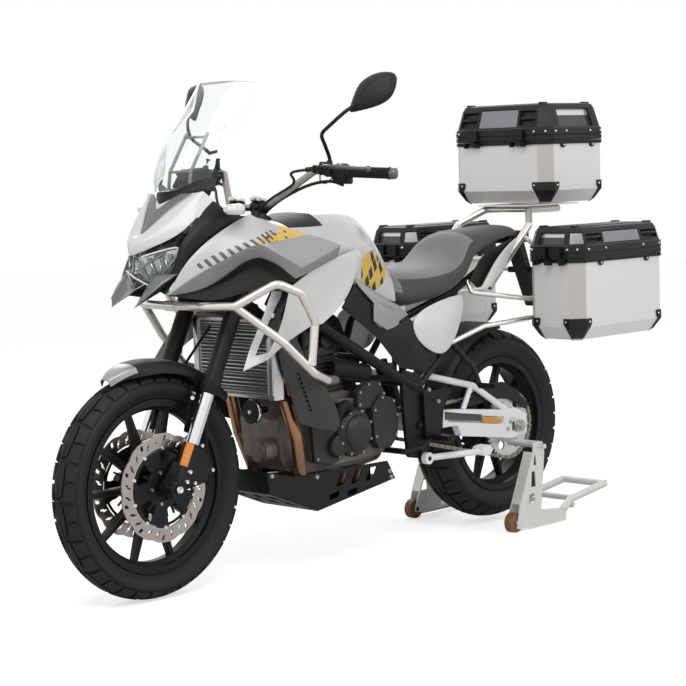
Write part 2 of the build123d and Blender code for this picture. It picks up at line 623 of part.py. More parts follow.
PIPE_R = 19.0
header = bent_tube(
    [at(470, 62, 690), at(428, 66, 678), at(424, 116, 590), at(474, 126, 420), at(520, 96, 266), at(600, 84, 262)],
    PIPE_R, 24,
)
header += rod(at(466, 62, 689), at(460, 62, 688), 29)
collector = block(at(820, -100, 240), at(596, 100, 286))
muffler_start, muffler_end = at(1176, -186, 358), at(1560, -206, 520)
tail_pipe = bent_tube([at(800, -90, 264), at(920, -96, 262), at(1064, -112, 274), muffler_start], 21, 40)
pieces["exhaust_pipes"] = both(header) + collector + tail_pipe - pieces["cylinder_head"]
muffler_plane = Plane(origin=muffler_start, x_dir=(0, 1, 0), z_dir=muffler_end - muffler_start)
muffler_length = (muffler_end - muffler_start).length
muffler = muffler_plane * loft(
    [
        Circle(30), Pos(0, 0, 60) * Ellipse(44, 58), Pos(0, 0, muffler_length - 40) * Ellipse(44, 60),
        Pos(0, 0, muffler_length) * Ellipse(38, 50),
    ],
    ruled=True,
)
muffler -= muffler_plane * Pos(0, 0, muffler_length - 60) * Cylinder(20, 130)
pieces["muffler"] = muffler

# ---- skid plate ------------------------------------------------------------------------------------
PLATE = 4.0
SKID_HALF = 122.0
keel = [(350, 330), (362, 262), (560, 182), (910, 236), (880, 300)]
skid_side = side_plate(outline_at([(352, 330), (362, 262), (560, 182), (910, 236), (876, 296), (560, 300), (470, 300)]),
                       SKID_HALF - PLATE, SKID_HALF)
for station in (640, 706, 772):
    skid_side -= side_plate(
        outline_at([(station, 244), (station + 22, 284), (station + 56, 286), (station + 34, 248)]),
        SKID_HALF - PLATE - 1, SKID_HALF + 1, 3,
    )
for station in (610, 690, 770):
    skid_side -= side_plate(
        outline_at([(station, 208), (station + 6, 226), (station + 48, 232), (station + 42, 214)]),
        SKID_HALF - PLATE - 1, SKID_HALF + 1, 3,
    )
lower = [(362, 262), (560, 182), (910, 236)]
upper = [(910, 236 + PLATE), (560, 182 + PLATE), (362 + PLATE, 262 + PLATE), (352 + PLATE, 330), (352, 330)]
skid_floor = side_plate(outline_at(lower + upper), -SKID_HALF, SKID_HALF)
for y in (-70, 0, 70):
    for station, low in ((410, 228), (470, 204)):
        skid_floor -= block(at(station + 40, y - 22, low - 26), at(station, y + 22, low + 60))
pieces["skid_plate"] = skid_floor + both(skid_side)

# ---- tank and seat ------------------------------------------------------------------------------------


def hull_form(sections, corner):
    """A body lofted along X. Rows: station, half width low, half width high, bottom, top."""
    faces = []
    for station, low_half, high_half, bottom, top in sections:
        corners = [(-low_half, bottom), (low_half, bottom), (high_half, top), (-high_half, top)]
        plane = Plane(origin=at(station, 0, 0), x_dir=(0, 1, 0), z_dir=(1, 0, 0))
        faces.append(plane * make_face(FilletPolyline(*corners, radius=corner, close=True)))
    return loft(faces, ruled=True)


pieces["fuel_tank"] = hull_form(
    [
        (466, 96, 62, 976, 1074), (512, 150, 100, 926, 1095), (600, 178, 128, 882, 1096), (740, 160, 126, 830, 1088),
        (850, 138, 100, 796, 1070), (900, 116, 62, 796, 1006),
    ],
    26,
)
pieces["seat"] = hull_form(
    [
        (908, 96, 60, 800, 896), (985, 138, 100, 764, 890), (1110, 152, 118, 790, 886), (1215, 154, 112, 828, 918),
        (1292, 146, 98, 905, 988), (1420, 134, 96, 958, 1006), (1560, 110, 76, 970, 1016), (1588, 92, 60, 974, 1012),
    ],
    15,
)

# ---- bodywork ---------------------------------------------------------------------------------------------
SHEET = 4.0


def cut_to(shape, pairs, windows=()):
    """The part of a sheet inside an outline drawn in side view, less the windows in it."""
    kept = shape & side_plate(outline_at(pairs), -400, 400)
    for window in windows:
        kept -= side_plate(outline_at(window), -400, 400)
    return kept


def folded_sheet(points, facets, offset):
    """A creased sheet. Facets list corner numbers; offset is the sheet's thickness as (x, y, z)."""
    top = [at(*point) for point in points]
    under = [point + Vector(*offset) for point in top]
    faces, uses = [], {}
    for facet in facets:
        faces.append(Face(Wire.make_polygon([top[n] for n in facet])))
        faces.append(Face(Wire.make_polygon([under[n] for n in facet])))
        for first, second in zip(facet, facet[1:] + facet[:1]):
            uses.setdefault(frozenset((first, second)), []).append((first, second))
    for found in uses.values():
        if len(found) == 1:
            a, b = found[0]
            faces.append(Face(Wire.make_polygon([top[a], top[b], under[b], under[a]])))
    return Solid(Shell(faces))


wing = skin(
    [
        (860, [(-30, 92), (66, 152), (243, 222), (389, 246), (600, 240)]),
        (975, [(-10, 84), (66, 150), (243, 228), (389, 252), (600, 244)]),
        (1105, [(-10, 84), (66, 112), (243, 176), (389, 196), (600, 210)]),
    ],
    (0, -SHEET),
)
wing_outline = [
    (-11, 876), (35, 962), (108, 1024), (181, 1074), (255, 1100), (319, 1086), (431, 1046), (584, 996), (560, 968),
    (379, 906), (334, 941), (295, 966), (226, 982), (155, 954), (107, 926), (66, 881),
]
pieces["side_fairings"] = both(cut_to(wing, wing_outline))
insert = skin(
    [
        (845, [(60, 136), (159, 182), (267, 206), (400, 230)]),
        (985, [(60, 140), (159, 186), (267, 214), (400, 238)]),
    ],
    (0, -SHEET),
)
pieces["fairing_inserts"] = both(cut_to(insert, [(66, 879), (107, 924), (155, 952), (226, 980), (295, 964), (334, 939),
                                                 (379, 903), (388, 873), (267, 875), (159, 854), (79, 864)]))
trim = skin(
    [
        (860, [(-30, 30), (20, 92), (60, 130), (240, 168)]),
        (960, [(-30, 60), (20, 104), (60, 134), (240, 172)]),
        (1150, [(-30, 60), (20, 84), (60, 104), (240, 150)]),
    ],
    (0, -SHEET),
)
pieces["cockpit_trims"] = both(cut_to(trim, [(12, 868), (-8, 884), (26, 941), (58, 1010), (110, 1066), (176, 1128),
                                             (226, 1106), (190, 1070), (117, 1020), (42, 958)]))
cowl = skin(
    [
        (640, [(170, 206), (420, 214), (720, 186)]),
        (790, [(170, 214), (420, 226), (720, 190)]),
        (975, [(170, 222), (420, 236), (720, 196)]),
    ],
    (0, -SHEET),
)
pieces["radiator_cowls"] = both(
    cut_to(
        cowl,
        [(379, 903), (560, 964), (686, 968), (706, 957), (654, 848), (591, 791), (477, 756), (306, 708), (192, 650),
         (230, 722), (264, 782), (311, 866), (340, 890)],
        [[(322, 852), (282, 772), (252, 722), (262, 706), (330, 756), (356, 868)]],
    )
) - pieces["fairing_inserts"]

nose_points = [
    (-73, 0, 1041), (50, 0, 1172), (69, 22, 1177), (151, 115, 1168), (171, 132, 1136), (36, 122, 1042),
    (-50, 30, 990), (-64, 0, 990),
]
nose_half = folded_sheet(
    nose_points, [(0, 1, 2), (0, 2, 5), (2, 3, 5), (3, 4, 5), (0, 5, 6), (0, 6, 7)], (-3, 0, -4)
)
pieces["nose_cowl"] = both(nose_half)
lamp_half = folded_sheet(
    [(-52, 0, 984), (-46, 0, 950), (-36, 22, 918), (4, 52, 896), (22, 98, 940), (34, 112, 1000), (-36, 34, 984)],
    [(0, 1, 6), (1, 2, 6), (2, 5, 6), (2, 3, 4), (2, 4, 5)], (-44, 0, 0),
)
pieces["headlamp"] = both(lamp_half)
beak_half = folded_sheet(
    [(-78, 53, 845), (-66, 76, 892), (-8, 112, 928), (40, 124, 900), (16, 96, 868), (-26, 34, 892), (-34, 0, 900),
     (0, 0, 884)],
    [(0, 1, 5), (1, 2, 5), (2, 3, 4), (2, 4, 5), (4, 7, 5), (5, 7, 6)], (-3, 0, -5),
)
pieces["beak"] = both(beak_half)
pieces["lamp_sensor"] = block(at(10, -26, 874), at(-34, 26, 894)) + rod(at(-8, 0, 876), at(-12, 0, 862), 8)
screen_half = folded_sheet(
    [(46, 0, 1188), (150, 0, 1330), (292, 0, 1490), (60, 36, 1190), (196, 102, 1258), (208, 114, 1286),
     (225, 122, 1351), (329, 135, 1436), (348, 126, 1488)],
    [(0, 3, 1), (3, 4, 1), (4, 5, 1), (5, 6, 1), (1, 6, 2), (6, 7, 2), (7, 8, 2)], (-4, 0, -2),
)
pieces["windscreen"] = both(screen_half)
bracket = both(bent_tube([at(150, 46, 1120), at(165, 46, 1226), at(236, 46, 1336)], 5, 20))
bracket += cross_shaft(at(165, 0, 1226), 4, -46, 46) + cross_shaft(at(229, 0, 1325), 4, -46, 46)
bracket += both(rod(at(150, 46, 1120), at(236, 20, 1046), 8) + rod(at(236, 20, 1046), at(300, 20, 1000), 8)
                + rod(at(300, 20, 1000), fork(HEAD_HIGH - 60, -26, 20), 8))
pieces["screen_bracket"] = bracket
pieces["instruments"] = Pos(*at(212, 0, 1186)) * Rot(0, -35, 0) * Box(20, 150, 90)

# ---- side panels and rear bodywork ----------------------------------------------------------------------
infill = skin(
    [(590, [(600, 160), (900, 158), (1070, 164)]), (880, [(600, 172), (900, 160), (1070, 150)])], (0, -SHEET)
)
pieces["frame_covers"] = both(
    cut_to(infill, [(640, 800), (700, 872), (780, 800), (772, 745), (838, 700), (930, 748), (965, 730), (990, 671),
                    (1062, 626), (1044, 560), (905, 590), (860, 640), (789, 700), (712, 752)])
)
accent = skin(
    [(700, [(670, 178), (780, 178), (950, 166)]), (900, [(670, 180), (780, 172), (950, 148)])], (0, -SHEET)
)
pieces["side_accents"] = both(
    cut_to(accent, [(701, 886), (884, 796), (937, 750), (839, 712), (768, 739), (770, 797), (684, 852)])
)
oval = skin(
    [(610, [(940, 172), (1080, 186), (1230, 172)]), (810, [(940, 160), (1080, 170), (1230, 160)])], (0, -SHEET)
)
pieces["side_panels"] = both(
    cut_to(oval, [(953, 713), (969, 749), (1031, 776), (1153, 799), (1207, 799), (1221, 775), (1178, 687),
                  (1122, 621), (1073, 616), (989, 656)])
)
HUGGER_GAP = 22.0
hugger_r = REAR_TYRE["radius"] + HUGGER_GAP
hugger_half = REAR_TYRE["width"] / 2 + 8
hugger_section = make_face(
    Polyline(
        (hugger_r - 16, hugger_half), (hugger_r + 4, hugger_half - 10), (hugger_r + 4, 10 - hugger_half),
        (hugger_r - 16, -hugger_half), (hugger_r - 16, 4 - hugger_half), (hugger_r, 12 - hugger_half),
        (hugger_r, hugger_half - 12), (hugger_r - 16, hugger_half - 4), close=True,
    )
)
hugger = rear_hub * Rot(0, -88, 0) * revolve(hugger_section, axis=Axis.Y, revolution_arc=62)
bridge_end = pivot + Vector(-96, 0, 22)
hugger += side_plate(
    [behind(306, 0, REAR_AXLE_Z + 150), behind(318, 0, REAR_AXLE_Z + 128), bridge_end + Vector(2, 0, 0),
     bridge_end + Vector(28, 0, 0), bridge_end + Vector(20, 0, 12)],
    -44, 44,
)
pieces["rear_hugger"] = hugger
guard_points = [axle + Vector(x, 0, z) for x, z in
                ((250, 108), (120, 150), (40, 150), (-20, 120), (-96, 60), (-74, 46), (-10, 84), (60, 96), (240, 84))]
pieces["chain_guard"] = side_plate(guard_points, CHAIN_Y + 9, ARM_INNER, 4)

# ---- subframe, rack and tail ------------------------------------------------------------------------------
rail = bent_tube([at(935, 142, 560), at(975, 112, 740), at(1230, 112, 812), at(1596, 84, 968)], 12, 40)
rail += bent_tube([at(1000, 150, 520), at(1100, 150, 600), at(1230, 112, 806)], 11, 30)
subframe = both(rail) + cross_shaft(at(1230, 0, 812), 10, -112, 112)
subframe += cross_shaft(at(1560, 0, 956), 10, -88, 88)
pieces["rear_subframe"] = subframe - main_frame

RACK_TUBE_R = 8.0
RACK_TOP = TOP_CASE["base"] - 6
rack_y = PANNIER["middle"] - PANNIER["half"] - BAND_OVERHANG - RACK_TUBE_R - 3
side_loop = bent_tube(
    [at(1290, 134, 800), at(1460, rack_y, 770), at(1820, rack_y, 770), at(1820, rack_y, 876), at(1600, rack_y, 890),
     at(1530, 156, 976)],
    RACK_TUBE_R, 26,
)
side_loop += bent_tube([at(1150, 140, 640), at(1300, 176, 690), at(1460, rack_y, 706), at(1560, rack_y, 706)],
                       RACK_TUBE_R, 30)
side_loop += rod(at(1500, rack_y, 706), at(1500, rack_y, 770), RACK_TUBE_R)
side_loop += rod(at(1150, 140, 640), at(1150, 112, 640), 9)
side_loop += rod(at(1290, 134, 800), at(1290, 112, 838), 9)
grab = bent_tube([at(1355, 152, 812), at(1567, 156, 1010), at(1640, 96, RACK_TOP - 17), at(1800, 96, RACK_TOP - 17)],
                 12, 26)
grab += rod(at(1366, 152, 822), at(1366, 112, 862), 10)
top_plate = block(at(1900, -110, RACK_TOP - 5), at(1620, 110, RACK_TOP))
for station in (1660, 1740, 1820):
    top_plate -= both(block(at(station + 50, 20, RACK_TOP - 8), at(station, 84, RACK_TOP + 3)))
rack = both(side_loop + grab) + cross_shaft(at(1650, 0, RACK_TOP - 17), 9, -96, 96) + top_plate
rack += cross_shaft(at(1790, 0, RACK_TOP - 17), 9, -96, 96)
pieces["luggage_rack"] = rack - pieces["rear_subframe"]

tail = block(at(1700, -46, 944), at(1600, 46, 984))
tail += side_plate(outline_at([(1690, 950), (1780, 720), (1768, 716), (1660, 950)]), -30, 30)
tail += block(at(1728, -62, 836), at(1714, 62, 856))
pieces["tail_unit"] = tail

# ---- crash bars, lamps, foot controls ---------------------------------------------------------------------
BAR_TUBE_R = 12.5
SLEEVE_Y = 22.0
front_bar = bent_tube(
    [at(112, 0, 840), at(124, 118, 840), at(172, 205, 840), at(262, 286, 902), at(345, 300, 868), at(402, 296, 780),
     at(384, 296, 655)],
    BAR_TUBE_R, 34,
)
lower_bar = bent_tube(
    [at(176, 202, 838), at(300, 268, 728), at(402, 290, 628), at(480, 262, 600), at(590, 190, 586), at(596, 130, 586)],
    BAR_TUBE_R, 34,
)
bars = both(front_bar + lower_bar)
bars += cross_shaft(at(112, 0, 840), BAR_TUBE_R + 3, -SLEEVE_Y, SLEEVE_Y)
pieces["crash_bars"] = bars

signal = loft(
    [
        Plane(origin=at(246, 176, 1112), x_dir=(0, 1, 0), z_dir=(1, 0, 0.1)) * Ellipse(9, 8),
        Plane(origin=at(216, 188, 1115), x_dir=(0, 1, 0), z_dir=(1, 0, 0.1)) * Ellipse(26, 17),
        Plane(origin=at(180, 190, 1116), x_dir=(0, 1, 0), z_dir=(1, 0, 0.1)) * Ellipse(24, 15),
        Plane(origin=at(164, 190, 1117), x_dir=(0, 1, 0), z_dir=(1, 0, 0.1)) * Ellipse(10, 7),
    ],
    ruled=True,
)
rear_signal = cross_shaft(at(1721, 0, 846), 6, 62, 116) + rod(at(1708, 116, 846), at(1744, 124, 846), 17)
pieces["turn_signals"] = both(signal + rear_signal)

PEG_R = 11.0
hanger = side_plate(outline_at([(1000, 500), (1118, 506), (1134, 498), (1092, 440), (1086, 380), (1040, 340),
                                (1006, 352)]), PLATE_OUTER + 9, PLATE_OUTER + 15, 8)
hanger += cross_shaft(at(1060, 0, 356), 13, PLATE_OUTER + 1, PLATE_OUTER + 15)
hanger += cross_shaft(at(1016, 0, 488), 9, PLATE_OUTER, PLATE_OUTER + 10)
hanger += cross_shaft(at(1016, 0, 380), 9, PLATE_OUTER, PLATE_OUTER + 10)
peg = cross_shaft(at(1046, 0, 352), PEG_R, PLATE_OUTER + 14, PLATE_OUTER + 92)
peg += block(at(1066, PLATE_OUTER + 24, 350), at(1026, PLATE_OUTER + 90, 364))
pieces["rider_footpegs"] = both(hanger + peg)
passenger = bent_tube([at(1190, 128, 640), at(1240, 176, 560), at(1252, 190, 500)], 9, 20)
passenger += rod(at(1190, 128, 640), at(1190, 112, 640), 9)
passenger += cross_shaft(at(1252, 0, 500), 10, 190, 262)
pieces["passenger_footpegs"] = both(passenger)
LEVER_Y = PLATE_OUTER + 24
pedal = bent_tube([at(1020, -LEVER_Y, 350), at(960, -LEVER_Y - 4, 332), at(880, -LEVER_Y - 4, 322),
                   at(850, -LEVER_Y - 34, 322)], 7, 14)
lever = bent_tube([at(1020, LEVER_Y, 350), at(960, LEVER_Y + 2, 330), at(880, LEVER_Y + 2, 330),
                   at(868, LEVER_Y + 32, 332)], 6, 12)
lever_pins = both(cross_shaft(at(1020, 0, 350), 5, PLATE_OUTER + 15, LEVER_Y))
pieces["foot_levers"] = pedal + lever + lever_pins
pieces["rear_shock"] = (
    rod(at(1000, 0, 600), at(1040, 0, 420), 12) + rod(at(1004, 0, 580), at(1034, 0, 446), 30)
)

# ---- side stand, folded back along the left -----------------------------------------------------------------
SIDE_PIVOT_R = 7.0
side_pivot = at(1002, 176, 292)
LEG_REACH = 236.0
side_foot = side_pivot + Vector(-LEG_REACH, 26, -6)
lug = cross_shaft(side_pivot, 18, PLATE_OUTER, 168) + block(
    side_pivot + Vector(-14, PLATE_OUTER - side_pivot.Y, 0), side_pivot + Vector(14, -8, 40)
)
pieces["side_stand_lug"] = lug + cross_shaft(side_pivot, SIDE_PIVOT_R, 167, 190)
leg_start = side_pivot + Vector(-16, 2.5, 0)
leg = rod(leg_start, side_foot, 10.5) + cross_shaft(side_pivot, 19, 169, 188)
leg += side_plate(
    [side_foot + Vector(16, 0, 16), side_foot + Vector(-24, 0, 20), side_foot + Vector(-38, 0, 4),
     side_foot + Vector(-20, 0, -14), side_foot + Vector(14, 0, -12)],
    side_foot.Y - 22, side_foot.Y + 20, 6,
)
pieces["side_stand"] = leg - cross_shaft(side_pivot, SIDE_PIVOT_R + RUNNING_GAP, 160, 200)


# ---- cases ---------------------------------------------------------------------------------------------------
def octagon(length, width, cut):
    a, b = length / 2, width / 2
    return make_face(
        Polyline(
            (a - cut, b), (a, b - cut), (a, cut - b), (a - cut, -b), (cut - a, -b), (-a, cut - b), (-a, b - cut),
            (cut - a, b), close=True,
        )
    )


def tapered(length, width, cut, low, high, inset_low, inset_high):
    """An eight-sided prism or frustum: its length and width are reduced by twice the inset at each end."""
    return loft(
        [
            Pos(0, 0, low) * octagon(length - 2 * inset_low, width - 2 * inset_low, cut - 0.6 * inset_low),
            Pos(0, 0, high) * octagon(length - 2 * inset_high, width - 2 * inset_high, cut - 0.6 * inset_high),
        ],
        ruled=True,
    )


def case(front, back, middle, half, base, height, lid):
    """Body, lid and corner caps of one case, and the place of its lid hinge."""
    length, width = back - front, 2 * half
    bevel_in = CASE_BEVEL * 0.75
    wall = CASE_WALL
    body = tapered(length, width, CASE_CHAMFER, 0, CASE_BEVEL, bevel_in, 0)
    body += tapered(length, width, CASE_CHAMFER, CASE_BEVEL, height, 0, 0)
    room = tapered(length - 2 * wall, width - 2 * wall, CASE_CHAMFER - wall, wall, CASE_BEVEL, bevel_in, 0)
    room += tapered(length - 2 * wall, width - 2 * wall, CASE_CHAMFER - wall, CASE_BEVEL, height + 1, 0, 0)
    body -= room
    rim_low = height + LID_GAP
    over = BAND_OVERHANG
    band_length, band_width, band_cut = length + 2 * over, width + 2 * over, CASE_CHAMFER + over * 0.6
    slope = lid - BAND_HEIGHT
    shell = tapered(band_length, band_width, band_cut, rim_low, rim_low + BAND_HEIGHT, 0, 2)
    shell += tapered(band_length, band_width, band_cut, rim_low + BAND_HEIGHT, rim_low + lid - 18, 6, slope * 0.5)
    shell += tapered(band_length, band_width, band_cut, rim_low + lid - 18, rim_low + lid, slope * 0.5, slope * 0.5 + 14)
    hollow = tapered(band_length - 2 * wall, band_width - 2 * wall, band_cut - wall, rim_low - 1,
                     rim_low + BAND_HEIGHT, over, over)
    hollow += tapered(band_length - 2 * wall, band_width - 2 * wall, band_cut - wall, rim_low + BAND_HEIGHT,
                      rim_low + lid - 18, over + 6, slope * 0.5 + 4)
    shell -= hollow
    caps = None
    for end in (1, -1):
        for side in (1, -1):
            skin_piece = tapered(length + 8, width + 8, CASE_CHAMFER + 2, -4, CASE_BEVEL, bevel_in, 0)
            skin_piece += tapered(length + 8, width + 8, CASE_CHAMFER + 2, CASE_BEVEL, CASE_BEVEL + 18, 0, 0)
            solid_body = tapered(length, width, CASE_CHAMFER, 0, CASE_BEVEL, bevel_in, 0)
            solid_body += tapered(length, width, CASE_CHAMFER, CASE_BEVEL, height, 0, 0)
            cap = (skin_piece - solid_body) & (
                Pos(end * length / 2, side * width / 2, 26) * Rot(0, 0, 45 * end * side) * Box(160, CAP_WIDTH, 90)
            )
            caps = cap if caps is None else caps + cap
    place = Pos(*at((front + back) / 2, middle, base))
    hinge = Vector(length / 2 + over + HINGE_R + 1.5, 0, height - 4)
    return place * body, place * shell, place * caps, hinge, place, width


HINGE_GAP = 0.8
for label, size in (("top_case", TOP_CASE), ("pannier_left", PANNIER)):
    body, shell, caps, hinge, place, width = case(**size)
    offset = 0.24 * width
    knuckle, leaf = None, None
    for side in (1, -1):
        y = side * offset
        barrel = Pos(hinge.X, y, hinge.Z) * Rot(90, 0, 0) * Cylinder(HINGE_R, 22)
        arm = Pos(hinge.X - 5, y, hinge.Z) * Box(10, 22, 9)
        body_arm = Pos((hinge.X + hinge.X - HINGE_R - 1.5 - BAND_OVERHANG) / 2, y, hinge.Z - 9) * Box(
            HINGE_R + 1.5 + BAND_OVERHANG, 22, 8)
        part = barrel + body_arm + Pos(hinge.X, y, hinge.Z - 7) * Box(8, 22, 8)
        knuckle = part if knuckle is None else knuckle + part
        for step in (-1, 1):
            ear_y = y + step * (11 + HINGE_GAP + 6)
            ear = Pos(hinge.X, ear_y, hinge.Z) * Rot(90, 0, 0) * Cylinder(HINGE_R, 12)
            ear += Pos(hinge.X - 1, ear_y, hinge.Z + 9) * Box(2 * HINGE_R - 2, 12, 18)
            ear += Pos(hinge.X - 4.5, ear_y, hinge.Z + 15) * Box(2 * HINGE_R - 1, 12, 8)
            leaf = ear if leaf is None else leaf + ear
    body_piece = body + place * knuckle
    lid_piece = shell + place * leaf
    if label == "top_case":
        pieces["top_case_body"] = body_piece
        pieces["top_case_lid"] = lid_piece
        pieces["top_case_corners"] = caps
    else:
        pieces["pannier_left_body"] = body_piece
        pieces["pannier_left_lid"] = lid_piece
        pieces["pannier_left_corners"] = caps
        pieces["pannier_right_body"] = mirrored(body_piece)
        pieces["pannier_right_lid"] = mirrored(lid_piece)
        pieces["pannier_right_corners"] = mirrored(caps)

# ---- paddock stand -------------------------------------------------------------------------------------------
RAIL_HEIGHT = 42.0
RAIL_LOW = 4.0
column_x = ROLLER_X - 30
cradle = axle + Vector(26, 0, -44)
side_outline = [
    Vector(REAR_AXLE_X + ROLLER_X + 6, 0, 12), Vector(REAR_AXLE_X + ROLLER_X - 14, 0, 92),
    cradle + Vector(26, 0, -34), cradle + Vector(24, 0, -2), cradle + Vector(-24, 0, -2), cradle + Vector(-34, 0, -40),
    Vector(REAR_AXLE_X + 14, 0, RAIL_LOW + RAIL_HEIGHT + 14), Vector(REAR_AXLE_X - 120, 0, RAIL_LOW + RAIL_HEIGHT),
    Vector(REAR_AXLE_X - 120, 0, RAIL_LOW), Vector(REAR_AXLE_X + ROLLER_X - 60, 0, RAIL_LOW),
    Vector(REAR_AXLE_X + ROLLER_X - 36, 0, 10),
]
outer_y = STAND_HALF + ROLLER_WIDTH / 2 + 3
upright = side_plate(side_outline, outer_y, outer_y + STAND_SHEET, 6)
for x, z, w, h in ((62, 104, 34, 34), (52, 168, 26, 52), (42, 230, 16, 34)):
    opening = [behind(x + w / 2, 0, z - h / 2), behind(x + w / 2 - 5, 0, z + h / 2), behind(x - w / 2 + 4, 0, z + h / 2),
               behind(x - w / 2, 0, z - h / 2)]
    upright -= side_plate(opening, outer_y - 1, outer_y + STAND_SHEET + 1, 3)
web = side_plate(
    [Vector(REAR_AXLE_X + ROLLER_X - 14, 0, 92), cradle + Vector(26, 0, -34), cradle + Vector(22, 0, -34),
     Vector(REAR_AXLE_X + ROLLER_X - 18, 0, 92)],
    outer_y - 36, outer_y + 1,
)
roller_centre = behind(ROLLER_X, 0, ROLLER_R)
rail_back = behind(-350, 92, 30)
roller_pin = cross_shaft(roller_centre, ROLLER_PIN_R, STAND_HALF - ROLLER_WIDTH / 2 - 7, outer_y + 1)
inner_ear = side_plate(
    [behind(ROLLER_X + 10, 0, 24), behind(ROLLER_X + 10, 0, 44), behind(ROLLER_X - 14, 0, 92), behind(30, 0, 92),
     behind(10, 0, 20), behind(ROLLER_X - 30, 0, 20)],
    STAND_HALF - ROLLER_WIDTH / 2 - 7, STAND_HALF - ROLLER_WIDTH / 2 - 3,
)
cheek = block(behind(30, STAND_HALF - ROLLER_WIDTH / 2 - 5, 40), behind(70, outer_y + 1, 46))
rail_tube_r = 13.0
rail_z = RAIL_LOW + 18
bent_rail = bent_tube(
    [behind(20, outer_y - 12, rail_z), behind(-100, outer_y - 12, rail_z), behind(-340, 92, rail_z + 6),
     behind(-STAND_REACH + rail_tube_r, 92, rail_z + 34)],
    rail_tube_r, 60,
)
bracket_pin = cross_shaft(cradle + Vector(0, 0, -14), 8, ARM_INNER + 6, outer_y + 34)
saddle = block(cradle + Vector(-22, ARM_INNER - cradle.Y, -8), cradle + Vector(22, outer_y + 1 - cradle.Y, -2))
foot_pad = cross_shaft(behind(-340, 0, 9), 9, 80, 104)
stand_side = upright + web + roller_pin + inner_ear + cheek + bent_rail + bracket_pin + saddle + foot_pad
stand = both(stand_side)
stand += cross_shaft(behind(-352, 0, rail_z + 8), 11, -92, 92)
stand += cross_shaft(behind(-STAND_REACH + rail_tube_r, 0, rail_z + 34), rail_tube_r, -98, 98)
pieces["paddock_stand"] = stand
for side, sign in SIDES.items():
    centre_y = sign * STAND_HALF
    roller = cross_shaft(roller_centre, ROLLER_R, centre_y - ROLLER_WIDTH / 2, centre_y + ROLLER_WIDTH / 2,
                         ROLLER_PIN_R + RUNNING_GAP)
    pieces[f"stand_roller_{side}"] = roller

# ---- pieces that share a seat are trimmed to each other ----------------------------------------------------------
for trimmed, against in (
    ("beak", "cockpit_trims"), ("exhaust_pipes", "muffler"), ("handlebar_controls", "mirrors"),
    ("rear_subframe", "seat"), ("skid_plate", "exhaust_pipes"), ("screen_bracket", "main_frame"),
):
    pieces[trimmed] = pieces[trimmed] - pieces[against]

# ---- small pieces share one node with their neighbours -----------------------------------------------------------
SHARED_NODES = {
    "main_frame": ("main_frame", "horn", "swingarm_pivot", "side_stand_lug"),
    "rear_axle": ("rear_axle", "axle_blocks"),
    "crankcase": ("crankcase", "oil_filter"),
    "engine_covers": ("generator_cover", "clutch_cover", "sprocket_cover"),
    "cylinders": ("cylinder_block", "cylinder_head"),
    "fairing_trims": ("fairing_inserts", "cockpit_trims"),
    "beak": ("beak", "lamp_sensor"),
    "cockpit": ("screen_bracket", "instruments"),
    "side_panels": ("side_panels", "side_accents"),
    "rear_hugger": ("rear_hugger", "chain_guard"),
    "footpegs": ("rider_footpegs", "passenger_footpegs", "foot_levers"),
    "case_corners": ("top_case_corners", "pannier_left_corners", "pannier_right_corners"),
    "fork_feet": ("fork_feet", "front_axle"),
    "fork_clamps": ("fork_clamps", "bar_risers"),
    "hand_controls": ("handlebar_grips", "handlebar_controls"),
}
for group, members in SHARED_NODES.items():
    first, *others = [pieces.pop(member) for member in members]
    pieces[group] = first + others

for name, shape in pieces.items():
    export_step(shape, f"parts/{name}.step")
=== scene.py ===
import json
import math

import bmesh
import bpy
from mathutils import Matrix, Vector


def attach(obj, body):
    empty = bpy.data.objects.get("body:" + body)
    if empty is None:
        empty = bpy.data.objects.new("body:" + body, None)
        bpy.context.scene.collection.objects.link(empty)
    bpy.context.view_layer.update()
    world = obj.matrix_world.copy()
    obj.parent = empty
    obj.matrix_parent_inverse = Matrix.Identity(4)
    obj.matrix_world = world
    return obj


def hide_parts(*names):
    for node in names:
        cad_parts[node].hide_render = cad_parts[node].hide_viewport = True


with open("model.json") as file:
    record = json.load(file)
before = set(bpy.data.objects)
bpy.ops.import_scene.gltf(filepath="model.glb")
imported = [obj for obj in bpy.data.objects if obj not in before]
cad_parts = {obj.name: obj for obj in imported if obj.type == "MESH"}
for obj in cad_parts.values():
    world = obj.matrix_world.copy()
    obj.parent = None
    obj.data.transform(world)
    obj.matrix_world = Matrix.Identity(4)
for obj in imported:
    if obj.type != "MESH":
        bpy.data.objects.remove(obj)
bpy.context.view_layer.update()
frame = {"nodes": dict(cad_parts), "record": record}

nodes = frame["nodes"]


# ---- Studio --------------------------------------------------------------------------------------
# A white floor and sky, three soft lamps, and a long-lens camera at handlebar height, ahead of the
# left side. The shader classes that every finish is written with are made here.
class SocketExpression:
    """One output of a node; arithmetic on it adds Math nodes."""

    def __init__(self, shader, socket):
        self.shader = shader
        self.socket = socket

    def maths(self, operation, *values):
        return self.shader.node("ShaderNodeMath", {"operation": operation}, dict(enumerate(values)))

    def __add__(self, other):
        return self.maths("ADD", self, other)

    def __sub__(self, other):
        return self.maths("SUBTRACT", self, other)

    def __rsub__(self, other):
        return self.maths("SUBTRACT", other, self)

    def __mul__(self, other):
        return self.maths("MULTIPLY", self, other)

    def __truediv__(self, other):
        return self.maths("DIVIDE", self, other)

    def __gt__(self, other):
        return self.maths("GREATER_THAN", self, other)

    def __lt__(self, other):
        return self.maths("LESS_THAN", self, other)

    __radd__ = __add__
    __rmul__ = __mul__


